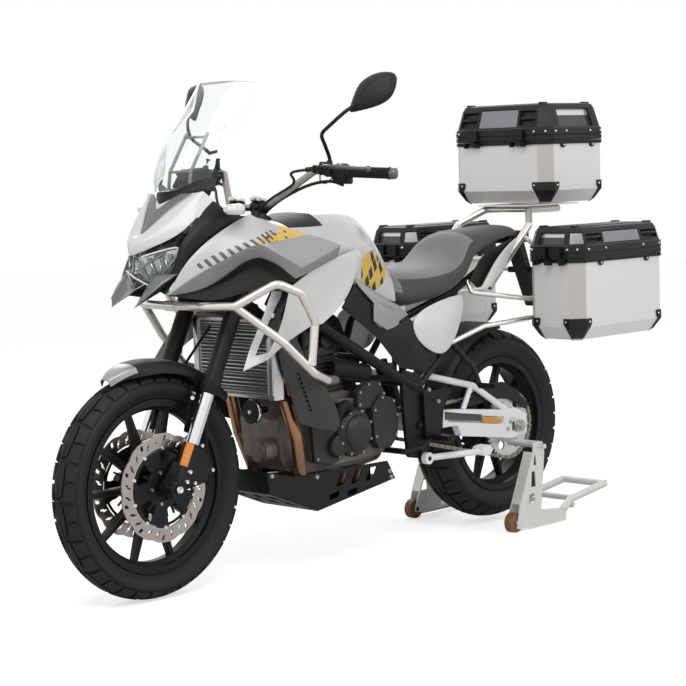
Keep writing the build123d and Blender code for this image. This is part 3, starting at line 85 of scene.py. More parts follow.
class Shader:
    """A material whose nodes are added one at a time."""

    def __init__(self, name):
        self.material = bpy.data.materials.new(name)
        self.material.use_nodes = True
        self.tree = self.material.node_tree
        self.surface = self.tree.nodes["Principled BSDF"]
        coordinates = self.tree.nodes.new("ShaderNodeTexCoord")
        self.place = SocketExpression(self, coordinates.outputs["Object"])

    def fill(self, node, inputs):
        for key, value in inputs.items():
            if isinstance(value, SocketExpression):
                self.tree.links.new(value.socket, node.inputs[key])
            else:
                node.inputs[key].default_value = value

    def node(self, kind, settings, inputs, output=0):
        node = self.tree.nodes.new(kind)
        for key, value in settings.items():
            if key == "stops":
                ramp = node.color_ramp.elements
                while len(ramp) < len(value):
                    ramp.new(0.5)
                for stop, (position, colour) in zip(ramp, value):
                    stop.position = position
                    stop.color = colour
            else:
                setattr(node, key, value)
        self.fill(node, inputs)
        return SocketExpression(self, node.outputs[output])

    def noise(self, scale, detail=3.0, rough=0.5):
        return self.node("ShaderNodeTexNoise", {}, {"Vector": self.place, "Scale": scale, "Detail": detail,
                                                    "Roughness": rough})

    def mix(self, factor, first, second):
        return self.node("ShaderNodeMix", {"data_type": "RGBA"}, {0: factor, 6: first, 7: second}, 2)

    def ramp(self, value, low, high):
        """0 below low, 1 above high."""
        return self.node("ShaderNodeMapRange", {}, {"Value": value, "From Min": low, "From Max": high})

    def axis(self, name):
        return self.node("ShaderNodeSeparateXYZ", {}, {"Vector": self.place}, "XYZ".index(name))

    def bump(self, height, strength, distance):
        return self.node("ShaderNodeBump", {}, {"Height": height, "Strength": strength, "Distance": distance})


def rgb(red, green, blue):
    return (red, green, blue, 1.0)


TARGET = Vector((0.0469, 0.0, 0.66941))
AZIMUTH, ELEVATION, ROLL = (math.radians(angle) for angle in (134.5137, 5.4067, -1.7541))
DISTANCE = 6.1805
camera_data = bpy.data.cameras.new("studio_camera")
camera_data.sensor_width = 36.0
camera_data.lens = 102.54
camera_data.clip_end = 60.0
camera = bpy.data.objects.new("studio_camera", camera_data)
bpy.context.scene.collection.objects.link(camera)
backward = Vector((math.sin(AZIMUTH) * math.cos(ELEVATION), -math.cos(AZIMUTH) * math.cos(ELEVATION),
                   math.sin(ELEVATION)))
rightward = Vector((math.cos(AZIMUTH), math.sin(AZIMUTH), 0.0))
turn = Matrix.Rotation(ROLL, 3, backward)
axes = [turn @ rightward, turn @ backward.cross(rightward), backward]
camera.matrix_world = Matrix.Translation(TARGET + backward * DISTANCE) @ Matrix(axes).transposed().to_4x4()
bpy.context.scene.camera = camera
bpy.context.scene.view_settings.view_transform = "Standard"

FLOOR_HALF = 14.0
floor_mesh = bmesh.new()
bmesh.ops.create_grid(floor_mesh, x_segments=2, y_segments=2, size=FLOOR_HALF)
floor_data = bpy.data.meshes.new("studio_floor")
floor_mesh.to_mesh(floor_data)
studio_floor = bpy.data.objects.new("studio_floor", floor_data)
bpy.context.scene.collection.objects.link(studio_floor)

# The floor and the sky show white to the camera and in reflections, and light the bike plainly.
floor_shader = Shader("studio_floor")
rays = floor_shader.tree.nodes.new("ShaderNodeLightPath")
seen = SocketExpression(floor_shader, rays.outputs["Is Camera Ray"])
floor_shader.fill(floor_shader.surface, {"Base Color": rgb(0.86, 0.86, 0.86), "Roughness": 0.9})
floor_shader.fill(floor_shader.surface, {"Emission Color": floor_shader.mix(seen, rgb(0, 0, 0), rgb(1, 1, 1)),
                                         "Emission Strength": 0.60})
floor_data.materials.append(floor_shader.material)

SKY_LIGHT, SKY_SHOWN = 0.38, 0.62  # what lights the bike, and what is added where the sky is seen
world = bpy.data.worlds.new("studio")
world.use_nodes = True
bpy.context.scene.world = world
sky = world.node_tree
background = sky.nodes["Background"].inputs
paths = sky.nodes.new("ShaderNodeLightPath").outputs
any_view, any_ray, strength = [sky.nodes.new("ShaderNodeMath") for _ in range(3)]
any_view.operation = any_ray.operation = "MAXIMUM"
strength.operation = "MULTIPLY_ADD"
strength.inputs[1].default_value = SKY_SHOWN
strength.inputs[2].default_value = SKY_LIGHT
background["Color"].default_value = rgb(1.0, 1.0, 1.0)
for source, target in ((paths["Is Camera Ray"], any_view.inputs[0]),
                       (paths["Is Transmission Ray"], any_view.inputs[1]),
                       (any_view.outputs[0], any_ray.inputs[0]), (paths["Is Glossy Ray"], any_ray.inputs[1]),
                       (any_ray.outputs[0], strength.inputs[0]), (strength.outputs[0], background["Strength"])):
    sky.links.new(source, target)


def soft_lamp(name, place, aim, size, power):
    data = bpy.data.lights.new(name, "AREA")
    data.size = size
    data.energy = power
    lamp = bpy.data.objects.new(name, data)
    bpy.context.scene.collection.objects.link(lamp)
    direction = Vector(aim) - Vector(place)
    lamp.matrix_world = Matrix.Translation(place) @ direction.to_track_quat("-Z", "Y").to_matrix().to_4x4()


soft_lamp("key_lamp", (2.6, 2.2, 4.4), (0.1, 0, 0.6), 3.2, 104)
soft_lamp("side_lamp", (-1.4, 4.4, 2.4), (-0.3, 0, 0.7), 2.6, 34)
soft_lamp("back_lamp", (-2.6, -3.6, 3.4), (0, 0, 0.8), 3.0, 45)


# ---- Finishes ------------------------------------------------------------------------------------
# Paint, bare metal, moulded plastic, rubber and clear plastic, one for each slot of the record. Every
# one has a fine grain and gloss that varies; paint has a clear coat and the case sheet brushed lines.
FOLD_EDGE = 0.001  # the folded corners' colour reaches this far past the fold
# The first colour is a darker painted shade on the cases' folded corners; the second is the black past their ends.
FOLD_PAINTED_SHADE, BEYOND_SHEET = (0.56, 0.54, 0.52), (0.011, 0.011, 0.012)


def finish(name, colour, roughness, metallic=0.0, speckle=0.06, grain=220.0, depth=0.0004, coat=0.0, blotch=0.12,
           brushed=None, shine=0.5, folds=None):
    """colour varies by speckle, gloss by blotch; grain is the bump's scale and depth its height in metres.
    folds is a case's middle, the reach of its folded corners, which get a darker painted shade, and its length, with
    black beyond."""
    shader = Shader(name)
    broad = shader.noise(7.0, 4.0)
    fine = shader.noise(grain, 4.0, 0.6)
    if brushed:
        stretched = shader.node("ShaderNodeMapping", {}, {"Vector": shader.place, "Scale": brushed})
        fine = shader.node("ShaderNodeTexNoise", {}, {"Vector": stretched, "Scale": grain, "Detail": 3.0})
    dark = rgb(*[c * (1 - 2 * speckle) for c in colour])
    light = rgb(*[min(1.0, c * (1 + 2 * speckle)) for c in colour])
    tint = shader.mix(fine, dark, light)
    if folds:
        middle_x, middle_y, reach, half_length = folds
        ahead, aside = [away.maths("ABSOLUTE", away) for away in
                        (shader.axis("X") - middle_x, shader.axis("Y") - middle_y)]
        # Painted shade: the chamfered corners are tinted darker than the flat sheet.
        tint = shader.mix(ahead + aside > reach - FOLD_EDGE, tint, rgb(*FOLD_PAINTED_SHADE))
        tint = shader.mix(ahead > half_length + FOLD_EDGE, tint, rgb(*BEYOND_SHEET))
    shader.fill(shader.surface, {
        "Base Color": tint,
        "Metallic": metallic,
        "Roughness": broad * blotch + (roughness - blotch / 2),
        "Specular IOR Level": shine,
        "Coat Weight": coat,
        "Coat Roughness": 0.08,
        "Normal": shader.bump(fine, 0.35, depth),
    })
    return shader.material


CASE_SHEET = dict(colour=(0.86, 0.862, 0.87), roughness=0.44, metallic=0.30, depth=0.00004, speckle=0.012,
                  brushed=(0.6, 0.6, 12.0))
FINISHES = {
    "white_paint": finish("white_paint", (0.80, 0.80, 0.79), 0.30, coat=0.5, speckle=0.01, depth=0.00005),
    "silver_paint": finish("silver_paint", (0.52, 0.53, 0.55), 0.30, 0.25, coat=0.4, speckle=0.03, depth=0.00005),
    "grey_paint": finish("grey_paint", (0.16, 0.165, 0.17), 0.35, 0.2, coat=0.3, speckle=0.03, depth=0.00005),
    "black_metal": finish("black_metal", (0.011, 0.011, 0.012), 0.40, 0.2, depth=0.0002, shine=0.28),
    "steel": finish("steel", (0.50, 0.50, 0.49), 0.30, 1.0, depth=0.0001),
    "header_steel": finish("header_steel", (0.48, 0.30, 0.20), 0.32, 1.0, depth=0.0001),
    "chrome": finish("chrome", (0.78, 0.78, 0.79), 0.10, 1.0, depth=0.00002, blotch=0.04),
    "bare_aluminium": finish("bare_aluminium", (0.68, 0.69, 0.70), 0.34, 1.0, depth=0.0001),
    "case_shell": finish("case_shell", **CASE_SHEET),
    "black_plastic": finish("black_plastic", (0.013, 0.013, 0.014), 0.48, depth=0.0002, shine=0.28),
    "clear_plastic": finish("clear_plastic", (0.85, 0.87, 0.88), 0.08, depth=0.00002),
    "roller_plastic": finish("roller_plastic", (0.22, 0.10, 0.045), 0.5),
    "seat_cover": finish("seat_cover", (0.050, 0.050, 0.055), 0.6, depth=0.0006),
    "grip_rubber": finish("grip_rubber", (0.010, 0.010, 0.010), 0.65, shine=0.25),
    "tyre_rubber": finish("tyre_rubber", (0.013, 0.013, 0.015), 0.66, grain=90.0, depth=0.0003, shine=0.35),
}


def add_finish(slot, name, *colour, material=None, **more):
    """A finish beside the record's own; the slot argument is not used."""
    FINISHES[name] = material or finish(name, *colour, **more)


slots = {part["node"]: part["material_slot"] for part in frame["record"]["subparts"]}
for node_name, node in nodes.items():
    node.data.materials.clear()
    node.data.materials.append(FINISHES[slots[node_name]])

add_finish("silver_paint", "tube_silver", (0.80, 0.765, 0.71), 0.24, 0.75, depth=0.00004, speckle=0.02, coat=0.3)
add_finish("black_metal", "bar_alloy", (0.34, 0.32, 0.30), 0.28, 0.9, depth=0.00005, speckle=0.02)
add_finish("white_paint", "arm_white", (0.93, 0.93, 0.92), 0.30, coat=0.4, speckle=0.01, depth=0.00005)
add_finish("bare_aluminium", "stand_plate", (0.80, 0.79, 0.77), 0.50, 0.45, depth=0.0001, speckle=0.04)
add_finish("black_plastic", "stay_grey", (0.26, 0.26, 0.27), 0.40, 0.3, depth=0.0001)
add_finish("chrome", "mirror_silver", (0.92, 0.92, 0.93), 0.02, 1.0, depth=0.000005, blotch=0.01)
for node_name, finish_name in (("crash_bars", "tube_silver"), ("luggage_rack", "tube_silver"),
                               ("handlebar", "bar_alloy"), ("swingarm", "arm_white"), ("side_stand", "arm_white"),
                               ("paddock_stand", "stand_plate"), ("cockpit", "stay_grey")):
    nodes[node_name].data.materials[0] = FINISHES[finish_name]


# ---- Wheels and tyres ----------------------------------------------------------------------------
# Cast ten-spoke wheels carry tubeless tyres with large, shallow rubber blocks. Each tyre is a moulded
# carcass whose blocks stand on it; the zigzag grooves run round it and out over the shoulders.
AXLES = {"front": Vector((0.86285, 0.0, 0.3293)), "rear": Vector((-0.64215, 0.0, 0.3354))}
MERGE_DISTANCE = 1e-6
NEAR_ORIGIN = 0.2  # takes in all that is turned at the origin, and nothing that is in its place
TYRE_STEPS = 128


def new_object(name, bm, finish_names):
    """Links a finished bmesh into the scene as an object with its materials."""
    data = bpy.data.meshes.new(name)
    bm.to_mesh(data)
    bm.free()
    piece = bpy.data.objects.new(name, data)
    bpy.context.scene.collection.objects.link(piece)
    for each in finish_names:
        data.materials.append(FINISHES[each])
    return piece


def add_piece(name, bm, body, finish_name, replaces=(), smooth=True, sharp=0.55):
    """Makes a finished bmesh an object that rides on a body."""
    bmesh.ops.remove_doubles(bm, verts=bm.verts, dist=MERGE_DISTANCE)
    bmesh.ops.recalc_face_normals(bm, faces=bm.faces)
    names = [finish_name] if isinstance(finish_name, str) else finish_name
    piece = new_object(name, bm, names)
    if smooth:
        piece.data.shade_smooth()
        piece.data.set_sharp_from_angle(angle=sharp)
    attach(piece, body)
    if replaces:
        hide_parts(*replaces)
    return piece


def modify(piece, name, kind, **settings):
    """Adds a modifier with its settings."""
    modifier = piece.modifiers.new(name, kind)
    for key, value in settings.items():
        setattr(modifier, key, value)


def lathe(bm, points, steps, axis, centre=(0, 0, 0), place=None):
    """Turns a line of points full circle; with a place it is turned at the origin and then moved there."""
    line = [bm.verts.new(point) for point in points]
    edges = [bm.edges.new(pair) for pair in zip(line, line[1:])]
    bmesh.ops.spin(bm, geom=line + edges, cent=centre, axis=axis, angle=math.tau, steps=steps, use_merge=True)
    if place is not None:
        at_origin = [vertex for vertex in bm.verts if vertex.co.length < NEAR_ORIGIN]
        bmesh.ops.transform(bm, matrix=place, verts=at_origin)


def extrude(bm, faces, offset):
    """Gives faces a thickness, keeping the originals, and returns the moved vertices."""
    raised = bmesh.ops.extrude_face_region(bm, geom=faces, use_keep_orig=True)
    moved = [item for item in raised["geom"] if isinstance(item, bmesh.types.BMVert)]
    bmesh.ops.translate(bm, verts=moved, vec=offset)
    return moved


# Outlines of the blocks of one pitch: share of the pitch round the tyre, then place between the shoulders.
CENTRE_BLOCKS = [
    [(0.04, -0.02), (0.26, -0.30), (0.62, -0.36), (0.96, -0.10), (0.98, 0.02), (0.62, -0.06), (0.30, 0.02)],
    [(0.10, 0.06), (0.32, 0.10), (0.62, 0.02), (1.00, 0.10), (0.92, 0.34), (0.56, 0.38), (0.16, 0.30)],
]
SHOULDER_BLOCKS = [
    [(0.05, 0.42), (0.42, 0.50), (0.46, 0.86), (0.42, 1.16), (0.00, 1.16), (0.02, 0.84)],
    [(0.50, 0.50), (0.93, 0.43), (0.92, 0.84), (0.90, 1.22), (0.50, 1.22), (0.54, 0.86)],
]
BLOCK_ROOT = 0.0012  # how far a block reaches into the carcass, below the grooves
CROWN_STEPS = 12


def tyre_piece(end, radius, half_width, seat, rim_half, groove, pitches, body):
    """radius is over the blocks, seat and rim_half are the rim's, groove is the depth of the tread."""
    shoulder_drop = 0.2 * (radius - seat)
    shoulder_half = 0.86 * half_width
    crown = (shoulder_half ** 2 + shoulder_drop ** 2) / (2 * shoulder_drop)
    edge = math.asin(shoulder_half / crown)
    belly = (radius + seat) / 2

    def on_tread(lap, across, depth):
        """across runs from -1 to 1 between the shoulders, and on down the sidewall beyond them."""
        angle = edge * max(-1.0, min(1.0, across))
        reach = crown - depth
        half, height = reach * math.sin(angle), radius - crown + reach * math.cos(angle)
        beyond = abs(across) - 1.0
        if beyond > 0:
            side = math.copysign(1.0, across)
            height -= beyond * half_width * 0.62
            half += side * beyond * half_width * 0.16
        turn_by = math.tau * lap / pitches
        return Vector((height * math.cos(turn_by), half, height * math.sin(turn_by)))

    bm = bmesh.new()
    wall = [(seat + 0.0005, rim_half - 0.002), (seat + 0.012, rim_half - 0.0005),
            (seat + 0.0165, rim_half + 0.0045), (seat + 0.019, rim_half + 0.0045),
            (seat + 0.021, rim_half + 0.0075), (belly - 0.006, half_width - 0.0022),
            (belly + 0.004, half_width - 0.0004), (belly + 0.010, half_width - 0.0012),
            (belly + 0.0115, half_width - 0.0030)]
    crown_line = [on_tread(0, 1 - 2 * step / CROWN_STEPS, groove) for step in range(CROWN_STEPS + 1)]
    section = [(height, half, 0) for height, half in wall] + [(p.x, p.y, 0) for p in crown_line]
    section += [(height, -half, 0) for height, half in reversed(wall)]
    lathe(bm, section, TYRE_STEPS, (0, 1, 0))

    pattern = bmesh.new()
    turned = [[(lap + 0.5, -across) for lap, across in reversed(outline)] for outline in SHOULDER_BLOCKS]
    for outline in CENTRE_BLOCKS + SHOULDER_BLOCKS + turned:
        top = pattern.faces.new([pattern.verts.new((*corner, 0)) for corner in outline])
        bmesh.ops.triangulate(pattern, faces=[top])
    bmesh.ops.subdivide_edges(pattern, edges=pattern.edges, cuts=1, use_grid_fill=True)
    extrude(pattern, pattern.faces[:], (0, 0, groove + BLOCK_ROOT))
    places = [vertex.co.copy() for vertex in pattern.verts]
    for pitch in range(pitches):
        for vertex, place in zip(pattern.verts, places):
            vertex.co = on_tread(place.x + pitch, place.y, place.z)
        copy = bpy.data.meshes.new("pitch")
        pattern.to_mesh(copy)
        bm.from_mesh(copy)
        bpy.data.meshes.remove(copy)
    pattern.free()
    bmesh.ops.translate(bm, verts=bm.verts, vec=AXLES[end])
    add_piece(f"{end}_treaded_tyre", bm, body, "tyre_rubber", [f"{end}_tyre"])


tyre_piece("front", 0.3293, 0.056, 0.2413, 0.032, 0.0062, 18, "front_wheel")
tyre_piece("rear", 0.3209, 0.075, 0.2159, 0.054, 0.0068, 17, "rear_wheel")


# ---- Brakes --------------------------------------------------------------------------------------
# Stainless discs with a waved edge and slanted slots cut through them float on black carriers, riveted
# by bobbins and bolted to the hubs. Black cast calipers reach over them, fed by rubber hoses.
def polar_plate(bm, centre, y, thickness, rows, steps, pitch, holes=(), skew=0.0):
    """A flat ring about a line along Y: rows are radii or functions of the angle, holes are cells left out."""
    grid = []
    for number, row in enumerate(rows):
        line = []
        for step in range(steps):
            angle = math.tau * (step + skew * number) / steps
            radius = row(angle) if callable(row) else row
            line.append(bm.verts.new(centre + Vector((radius * math.cos(angle), y, radius * math.sin(angle))) / 1000))
        grid.append(line)
    faces = []
    for number, (inner, outer) in enumerate(zip(grid, grid[1:])):
        for step in range(steps):
            if (number, step % pitch) not in holes:
                after = (step + 1) % steps
                faces.append(bm.faces.new((inner[step], inner[after], outer[after], outer[step])))
    extrude(bm, faces, (0, thickness / 1000, 0))


def sink(bm, faces, *steps):
    """Insets faces by each (thickness, depth) in turn, in metres."""
    for thickness, depth in steps:
        bmesh.ops.inset_individual(bm, faces=faces, thickness=thickness, depth=depth)


def faces_of(vertices):
    return list(dict.fromkeys(face for vertex in vertices for face in vertex.link_faces))


def edges_of(faces):
    return list(dict.fromkeys(edge for face in faces for edge in face.edges))


def studs(name, places, radius, rise, body, finish_name, socket=True):
    """Fastener heads at (point, normal) places, with a socket sunk in each unless they are plain."""
    bm = bmesh.new()
    for point, normal in places:
        turned = Vector(normal).normalized().to_track_quat("Z", "Y").to_matrix().to_4x4()
        made = bmesh.ops.create_cone(
            bm, cap_ends=True, segments=12, radius1=radius, radius2=radius * 0.8, depth=rise,
            matrix=Matrix.Translation(Vector(point)) @ turned @ Matrix.Translation((0, 0, rise * 0.4)))
        cap = max((face for face in faces_of(made["verts"]) if len(face.verts) > 4),
                  key=lambda face: (face.calc_center_median() - Vector(point)).dot(Vector(normal)))
        sink(bm, [cap], *([(radius * 0.3, 0.0), (radius * 0.02, -rise * 0.5)] if socket
                          else [(radius * 0.3, rise * 0.25)]))
    add_piece(name, bm, body, finish_name, smooth=False)


def around(centre, radius, y, count, start=0.0):
    """Points on a circle about a line along Y, in metres."""
    return [centre + Vector((radius * math.cos(start + math.tau * n / count), y,
                             radius * math.sin(start + math.tau * n / count))) / 1000 for n in range(count)]


add_finish("steel", "disc_steel", (0.50, 0.455, 0.42), 0.27, 1.0, grain=900.0, depth=0.00004, speckle=0.05)
# Cells left out of a ring and of a carrier, as (row, step within one repeat).
RING_HOLES = {(1, 2), (2, 2), (2, 3), (3, 3), (3, 8), (4, 8), (3, 9), (4, 9), (1, 13), (2, 13), (2, 14), (3, 14)}
ARM_CELLS = {(1, step) for step in range(7, 14)} | {(2, step) for step in range(6, 15)}
CARRIER_WINDOWS = {(row, step + shift) for row, step in ARM_CELLS for shift in (0, 9)}
LOBES, LOBE_STEPS = 10, 18
RING_THICK, CARRIER_THICK = 4.5, 6


def floating_disc(end, y, radius, ring, hub, body, side):
    """A disc ring of the given width on its carrier, with bobbins and hub bolts; returns the ring."""
    centre = AXLES[end]
    bm = bmesh.new()
    inner = radius - ring
    rows = [inner + ring * share for share in (0.0, 0.16, 0.34, 0.5, 0.66, 0.84)]
    rows.append(lambda angle: radius - 4.5 * max(0.0, math.cos(LOBES * angle)) ** 2)
    polar_plate(bm, centre, y - RING_THICK / 2, RING_THICK, rows, LOBE_STEPS * LOBES, LOBE_STEPS, RING_HOLES,
                skew=0.45)
    ring_piece = add_piece(f"disc_ring_{end}_{side}", bm, body, "disc_steel", sharp=0.6)
    bm = bmesh.new()
    rows = [hub, hub + 0.3 * (inner - hub), hub + 0.62 * (inner - hub), inner - 12,
            lambda angle: inner - 5 + 9 * max(0.0, math.cos(LOBES * angle + math.pi)) ** 2]
    polar_plate(bm, centre, y - CARRIER_THICK / 2, CARRIER_THICK, rows, LOBE_STEPS * LOBES, 2 * LOBE_STEPS,
                CARRIER_WINDOWS)
    carrier = add_piece(f"disc_carrier_{end}_{side}", bm, body, "black_metal", sharp=0.6)
    modify(carrier, "edges", "BEVEL", width=0.0008, segments=2, limit_method="ANGLE", angle_limit=0.8)
    outward = math.copysign(1.0, side)
    for name, places, stud_radius, rise, finish_name in (
            ("disc_bobbins", around(centre, inner - 1, y + outward * 2.4, LOBES, math.pi / LOBES), 0.0062, 0.0022,
             "chrome"),
            ("hub_bolts", around(centre, hub + 11, y + outward * 3, 5), 0.0060, 0.0050, "steel")):
        studs(f"{name}_{end}_{side}", [(place, (0, outward, 0)) for place in places], stud_radius, rise, body,
              finish_name)
    return ring_piece


FRONT_DISC_Y = 66.0
front_ring = floating_disc("front", FRONT_DISC_Y, 157.5, 42.0, 36.0, "front_wheel", 1)
floating_disc("front", -FRONT_DISC_Y, 157.5, 42.0, 36.0, "front_wheel", -1)
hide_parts("front_brake_discs")
rear_ring = floating_disc("rear", -80.0, 120.0, 34.0, 36.0, "rear_wheel", -1)
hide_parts("rear_brake_disc")


def soften(bm, edges, width, segments=2):
    """Rounds edges over by a width in metres."""
    bmesh.ops.bevel(bm, geom=edges, offset=width, offset_type="OFFSET", segments=segments, profile=0.5,
                    affect="EDGES", material=-1)


def block(bm, matrix, size, bevel=0.003, inset=0.0, depth=0.0):
    """A box with bevelled edges, and if wanted a sunk or raised panel on its +Z face."""
    made = bmesh.ops.create_cube(bm, size=1.0, matrix=matrix @ Matrix.Diagonal((*[s / 1000 for s in size], 1)))
    faces = faces_of(made["verts"])
    edges = edges_of(faces)
    if inset:
        up = matrix.to_3x3() @ Vector((0, 0, 1))
        top = max(faces, key=lambda face: face.calc_center_median().dot(up))
        sink(bm, [top], (inset / 1000, depth / 1000))
    soften(bm, edges, bevel)


def rims_of(made):
    """The edges round the ends of a new cone or cylinder."""
    return [edge for edge in edges_of(faces_of(made["verts"])) if any(len(face.verts) > 4 for face in edge.link_faces)]


def barrel(bm, start, end, radius, sides=20, bevel=0.0015):
    """A round body between two points, its rims bevelled."""
    axis = end - start
    turned = axis.to_track_quat("Z", "Y").to_matrix().to_4x4()
    made = bmesh.ops.create_cone(bm, cap_ends=True, segments=sides, radius1=radius, radius2=radius,
                                 depth=axis.length, matrix=Matrix.Translation((start + end) / 2) @ turned)
    soften(bm, rims_of(made), bevel)


def join_rings(bm, rings):
    """Walls between closed rings of vertices, each ring to the next."""
    return [[bm.faces.new((lower[n], lower[(n + 1) % len(lower)], upper[(n + 1) % len(lower)], upper[n]))
             for n in range(len(lower))] for lower, upper in zip(rings, rings[1:])]


def sweep(bm, points, radius, sides=10, steps=6, end_radius=None):
    """A round bar or hose along a smooth line through the points, closed at both ends."""
    line = []
    last = len(points) - 1
    for number in range(last):
        a, b, c, d = (points[max(0, min(last, number + k))] for k in (-1, 0, 1, 2))
        for step in range(steps):
            t = step / steps
            line.append(0.5 * (2 * b + (c - a) * t + (2 * a - 5 * b + 4 * c - d) * t * t
                               + (3 * b - a - 3 * c + d) * t ** 3))
    line.append(points[-1])
    rings, across = [], None
    for number, spot in enumerate(line):
        forward = (line[min(number + 1, len(line) - 1)] - line[max(number - 1, 0)]).normalized()
        if across is None:
            across = forward.orthogonal().normalized()
        across = (across - forward * across.dot(forward)).normalized()
        beside = forward.cross(across)
        size = radius if end_radius is None else radius + (end_radius - radius) * number / (len(line) - 1)
        rings.append([bm.verts.new(spot + (across * math.cos(math.tau * k / sides)
                                           + beside * math.sin(math.tau * k / sides)) * size) for k in range(sides)])
    join_rings(bm, rings)
    bm.faces.new(rings[0][::-1])
    bm.faces.new(rings[-1])


FORK_LEAN = math.radians(26.0)
LEANING = Matrix.Rotation(-FORK_LEAN, 4, "Y")


def fork_at(along, ahead, y):
    """Up the fork from the axle and ahead of the axle's line, in millimetres."""
    return AXLES["front"] + Vector((ahead * math.cos(FORK_LEAN) - along * math.sin(FORK_LEAN), y,
                                    along * math.cos(FORK_LEAN) + ahead * math.sin(FORK_LEAN))) / 1000


def facing(side):
    """Turns a block's +Z face outwards on one side."""
    return Matrix.Rotation(-side * math.pi / 2, 4, "X")


CALIPER_ANGLE, CALIPER_REACH = math.radians(154.0), 0.136
caliper_place = AXLES["front"] + Vector((math.cos(CALIPER_ANGLE), 0, math.sin(CALIPER_ANGLE))) * CALIPER_REACH
caliper_turned = Matrix.Translation(caliper_place) @ Matrix.Rotation(-CALIPER_ANGLE, 4, "Y")
calipers, caliper_bolts = bmesh.new(), []
for side in (1, -1):
    for y, depth in ((FRONT_DISC_Y + 17, 24), (FRONT_DISC_Y - 13.5, 13)):
        block(calipers, caliper_turned @ Matrix.Translation((0, side * y / 1000, 0)) @ facing(side),
              (62, 104, depth), 0.005, 9, -2)
    block(calipers, caliper_turned @ Matrix.Translation((0.0255, side * 0.0665, 0)), (9, 46, 84), 0.003)
    for along in (-26, 26):
        spot = caliper_turned @ Vector((-0.004, side * 0.092, along / 1000))
        barrel(calipers, spot, spot + Vector((0, side * 0.0075, 0)), 0.0185)
        caliper_bolts.append((caliper_turned @ Vector((0.024, side * 0.0945, along * 1.62 / 1000)), (0, side, 0)))
    barrel(calipers, fork_at(96, -60, side * 95), fork_at(96, -60, side * 100), 0.011)
    caliper_bolts += [(fork_at(96, -60, side * 100), (0, side, 0)), (fork_at(40, -66, side * 113), (0, side, 0))]
    hose = [fork_at(along, ahead, side * y) for along, ahead, y in
            ((150, -90, 92), (230, -60, 88), (330, -46, 84), (440, -60, 60), (520, -70, 36))]
    sweep(calipers, [caliper_turned @ Vector((0.02, side * 0.078, 0.055)), *hose], 0.0042, 8, 5)
add_piece("front_calipers", calipers, "steering", "black_metal", sharp=0.7, replaces=["front_brake_calipers"])
studs("caliper_bolts", caliper_bolts, 0.0068, 0.0045, "steering", "chrome")


# ---- Fork and front mudguard ---------------------------------------------------------------------
# Upside-down fork: black anodised outer tubes with rubber dust seals and ground chrome sliders in cast
# feet. The mudguard is moulded plastic on a steel brace, with a grey painted tip.
SEAL_PROFILE = ((0.0, 0.0215), (0.004, 0.0265), (0.016, 0.0285), (0.020, 0.0295), (0.034, 0.0292), (0.038, 0.0262),
                (0.042, 0.0262))
seals = bmesh.new()
for side in (1, -1):
    lathe(seals, [(radius, 0, along) for along, radius in SEAL_PROFILE], 28, (0, 0, 1),
          place=Matrix.Translation(fork_at(294, -19, side * 105)) @ LEANING)
add_piece("dust_seals", seals, "steering", "grip_rubber")

add_finish("black_plastic", "amber_lens", (0.85, 0.28, 0.03), 0.16, depth=0.0003, grain=300.0, coat=0.6)
reflectors = bmesh.new()
for side in (1, -1):
    toed_in = Matrix.Rotation(math.radians(-side * 22), 4, "Z")
    block(reflectors, Matrix.Translation(fork_at(104, 2, side * 122)) @ LEANING @ toed_in @ facing(side),
          (26, 70, 7), 0.003, 3, 1)
add_piece("fork_reflectors", reflectors, "steering", "amber_lens")
brace_bolts = [(fork_at(270, 12, side * 80), (0.4, side, 0.1)) for side in (1, -1)]
brace_bolts += [(fork_at(along, -19, side * 133), (0, side, 0)) for side in (1, -1) for along in (30, 60)]
studs("fork_bolts", brace_bolts, 0.0075, 0.0045, "steering", "chrome")
studs("front_axle_nuts", [(AXLES["front"] + Vector((0, side * 0.138, 0)), (0, side, 0)) for side in (1, -1)],
      0.0115, 0.0050, "steering", "chrome")

FOLD_CREASE = 0.85
SEAM_GAP = 0.0006  # within which a panel's two halves join in the middle
AXLE_RISE = 329.3


def at(station, y, z):
    """Millimetres behind the front axle, left of the middle and above the floor, as metres."""
    return Vector((AXLES["front"].x - station / 1000, y / 1000, z / 1000))


def mirror_across(bm):
    """Adds the right-hand copy of everything in a bmesh."""
    copied = bmesh.ops.duplicate(bm, geom=bm.verts[:] + bm.edges[:] + bm.faces[:])["geom"]
    bmesh.ops.scale(bm, verts=[item for item in copied if isinstance(item, bmesh.types.BMVert)], vec=(1, -1, 1))
    bmesh.ops.reverse_faces(bm, faces=[item for item in copied if isinstance(item, bmesh.types.BMFace)])


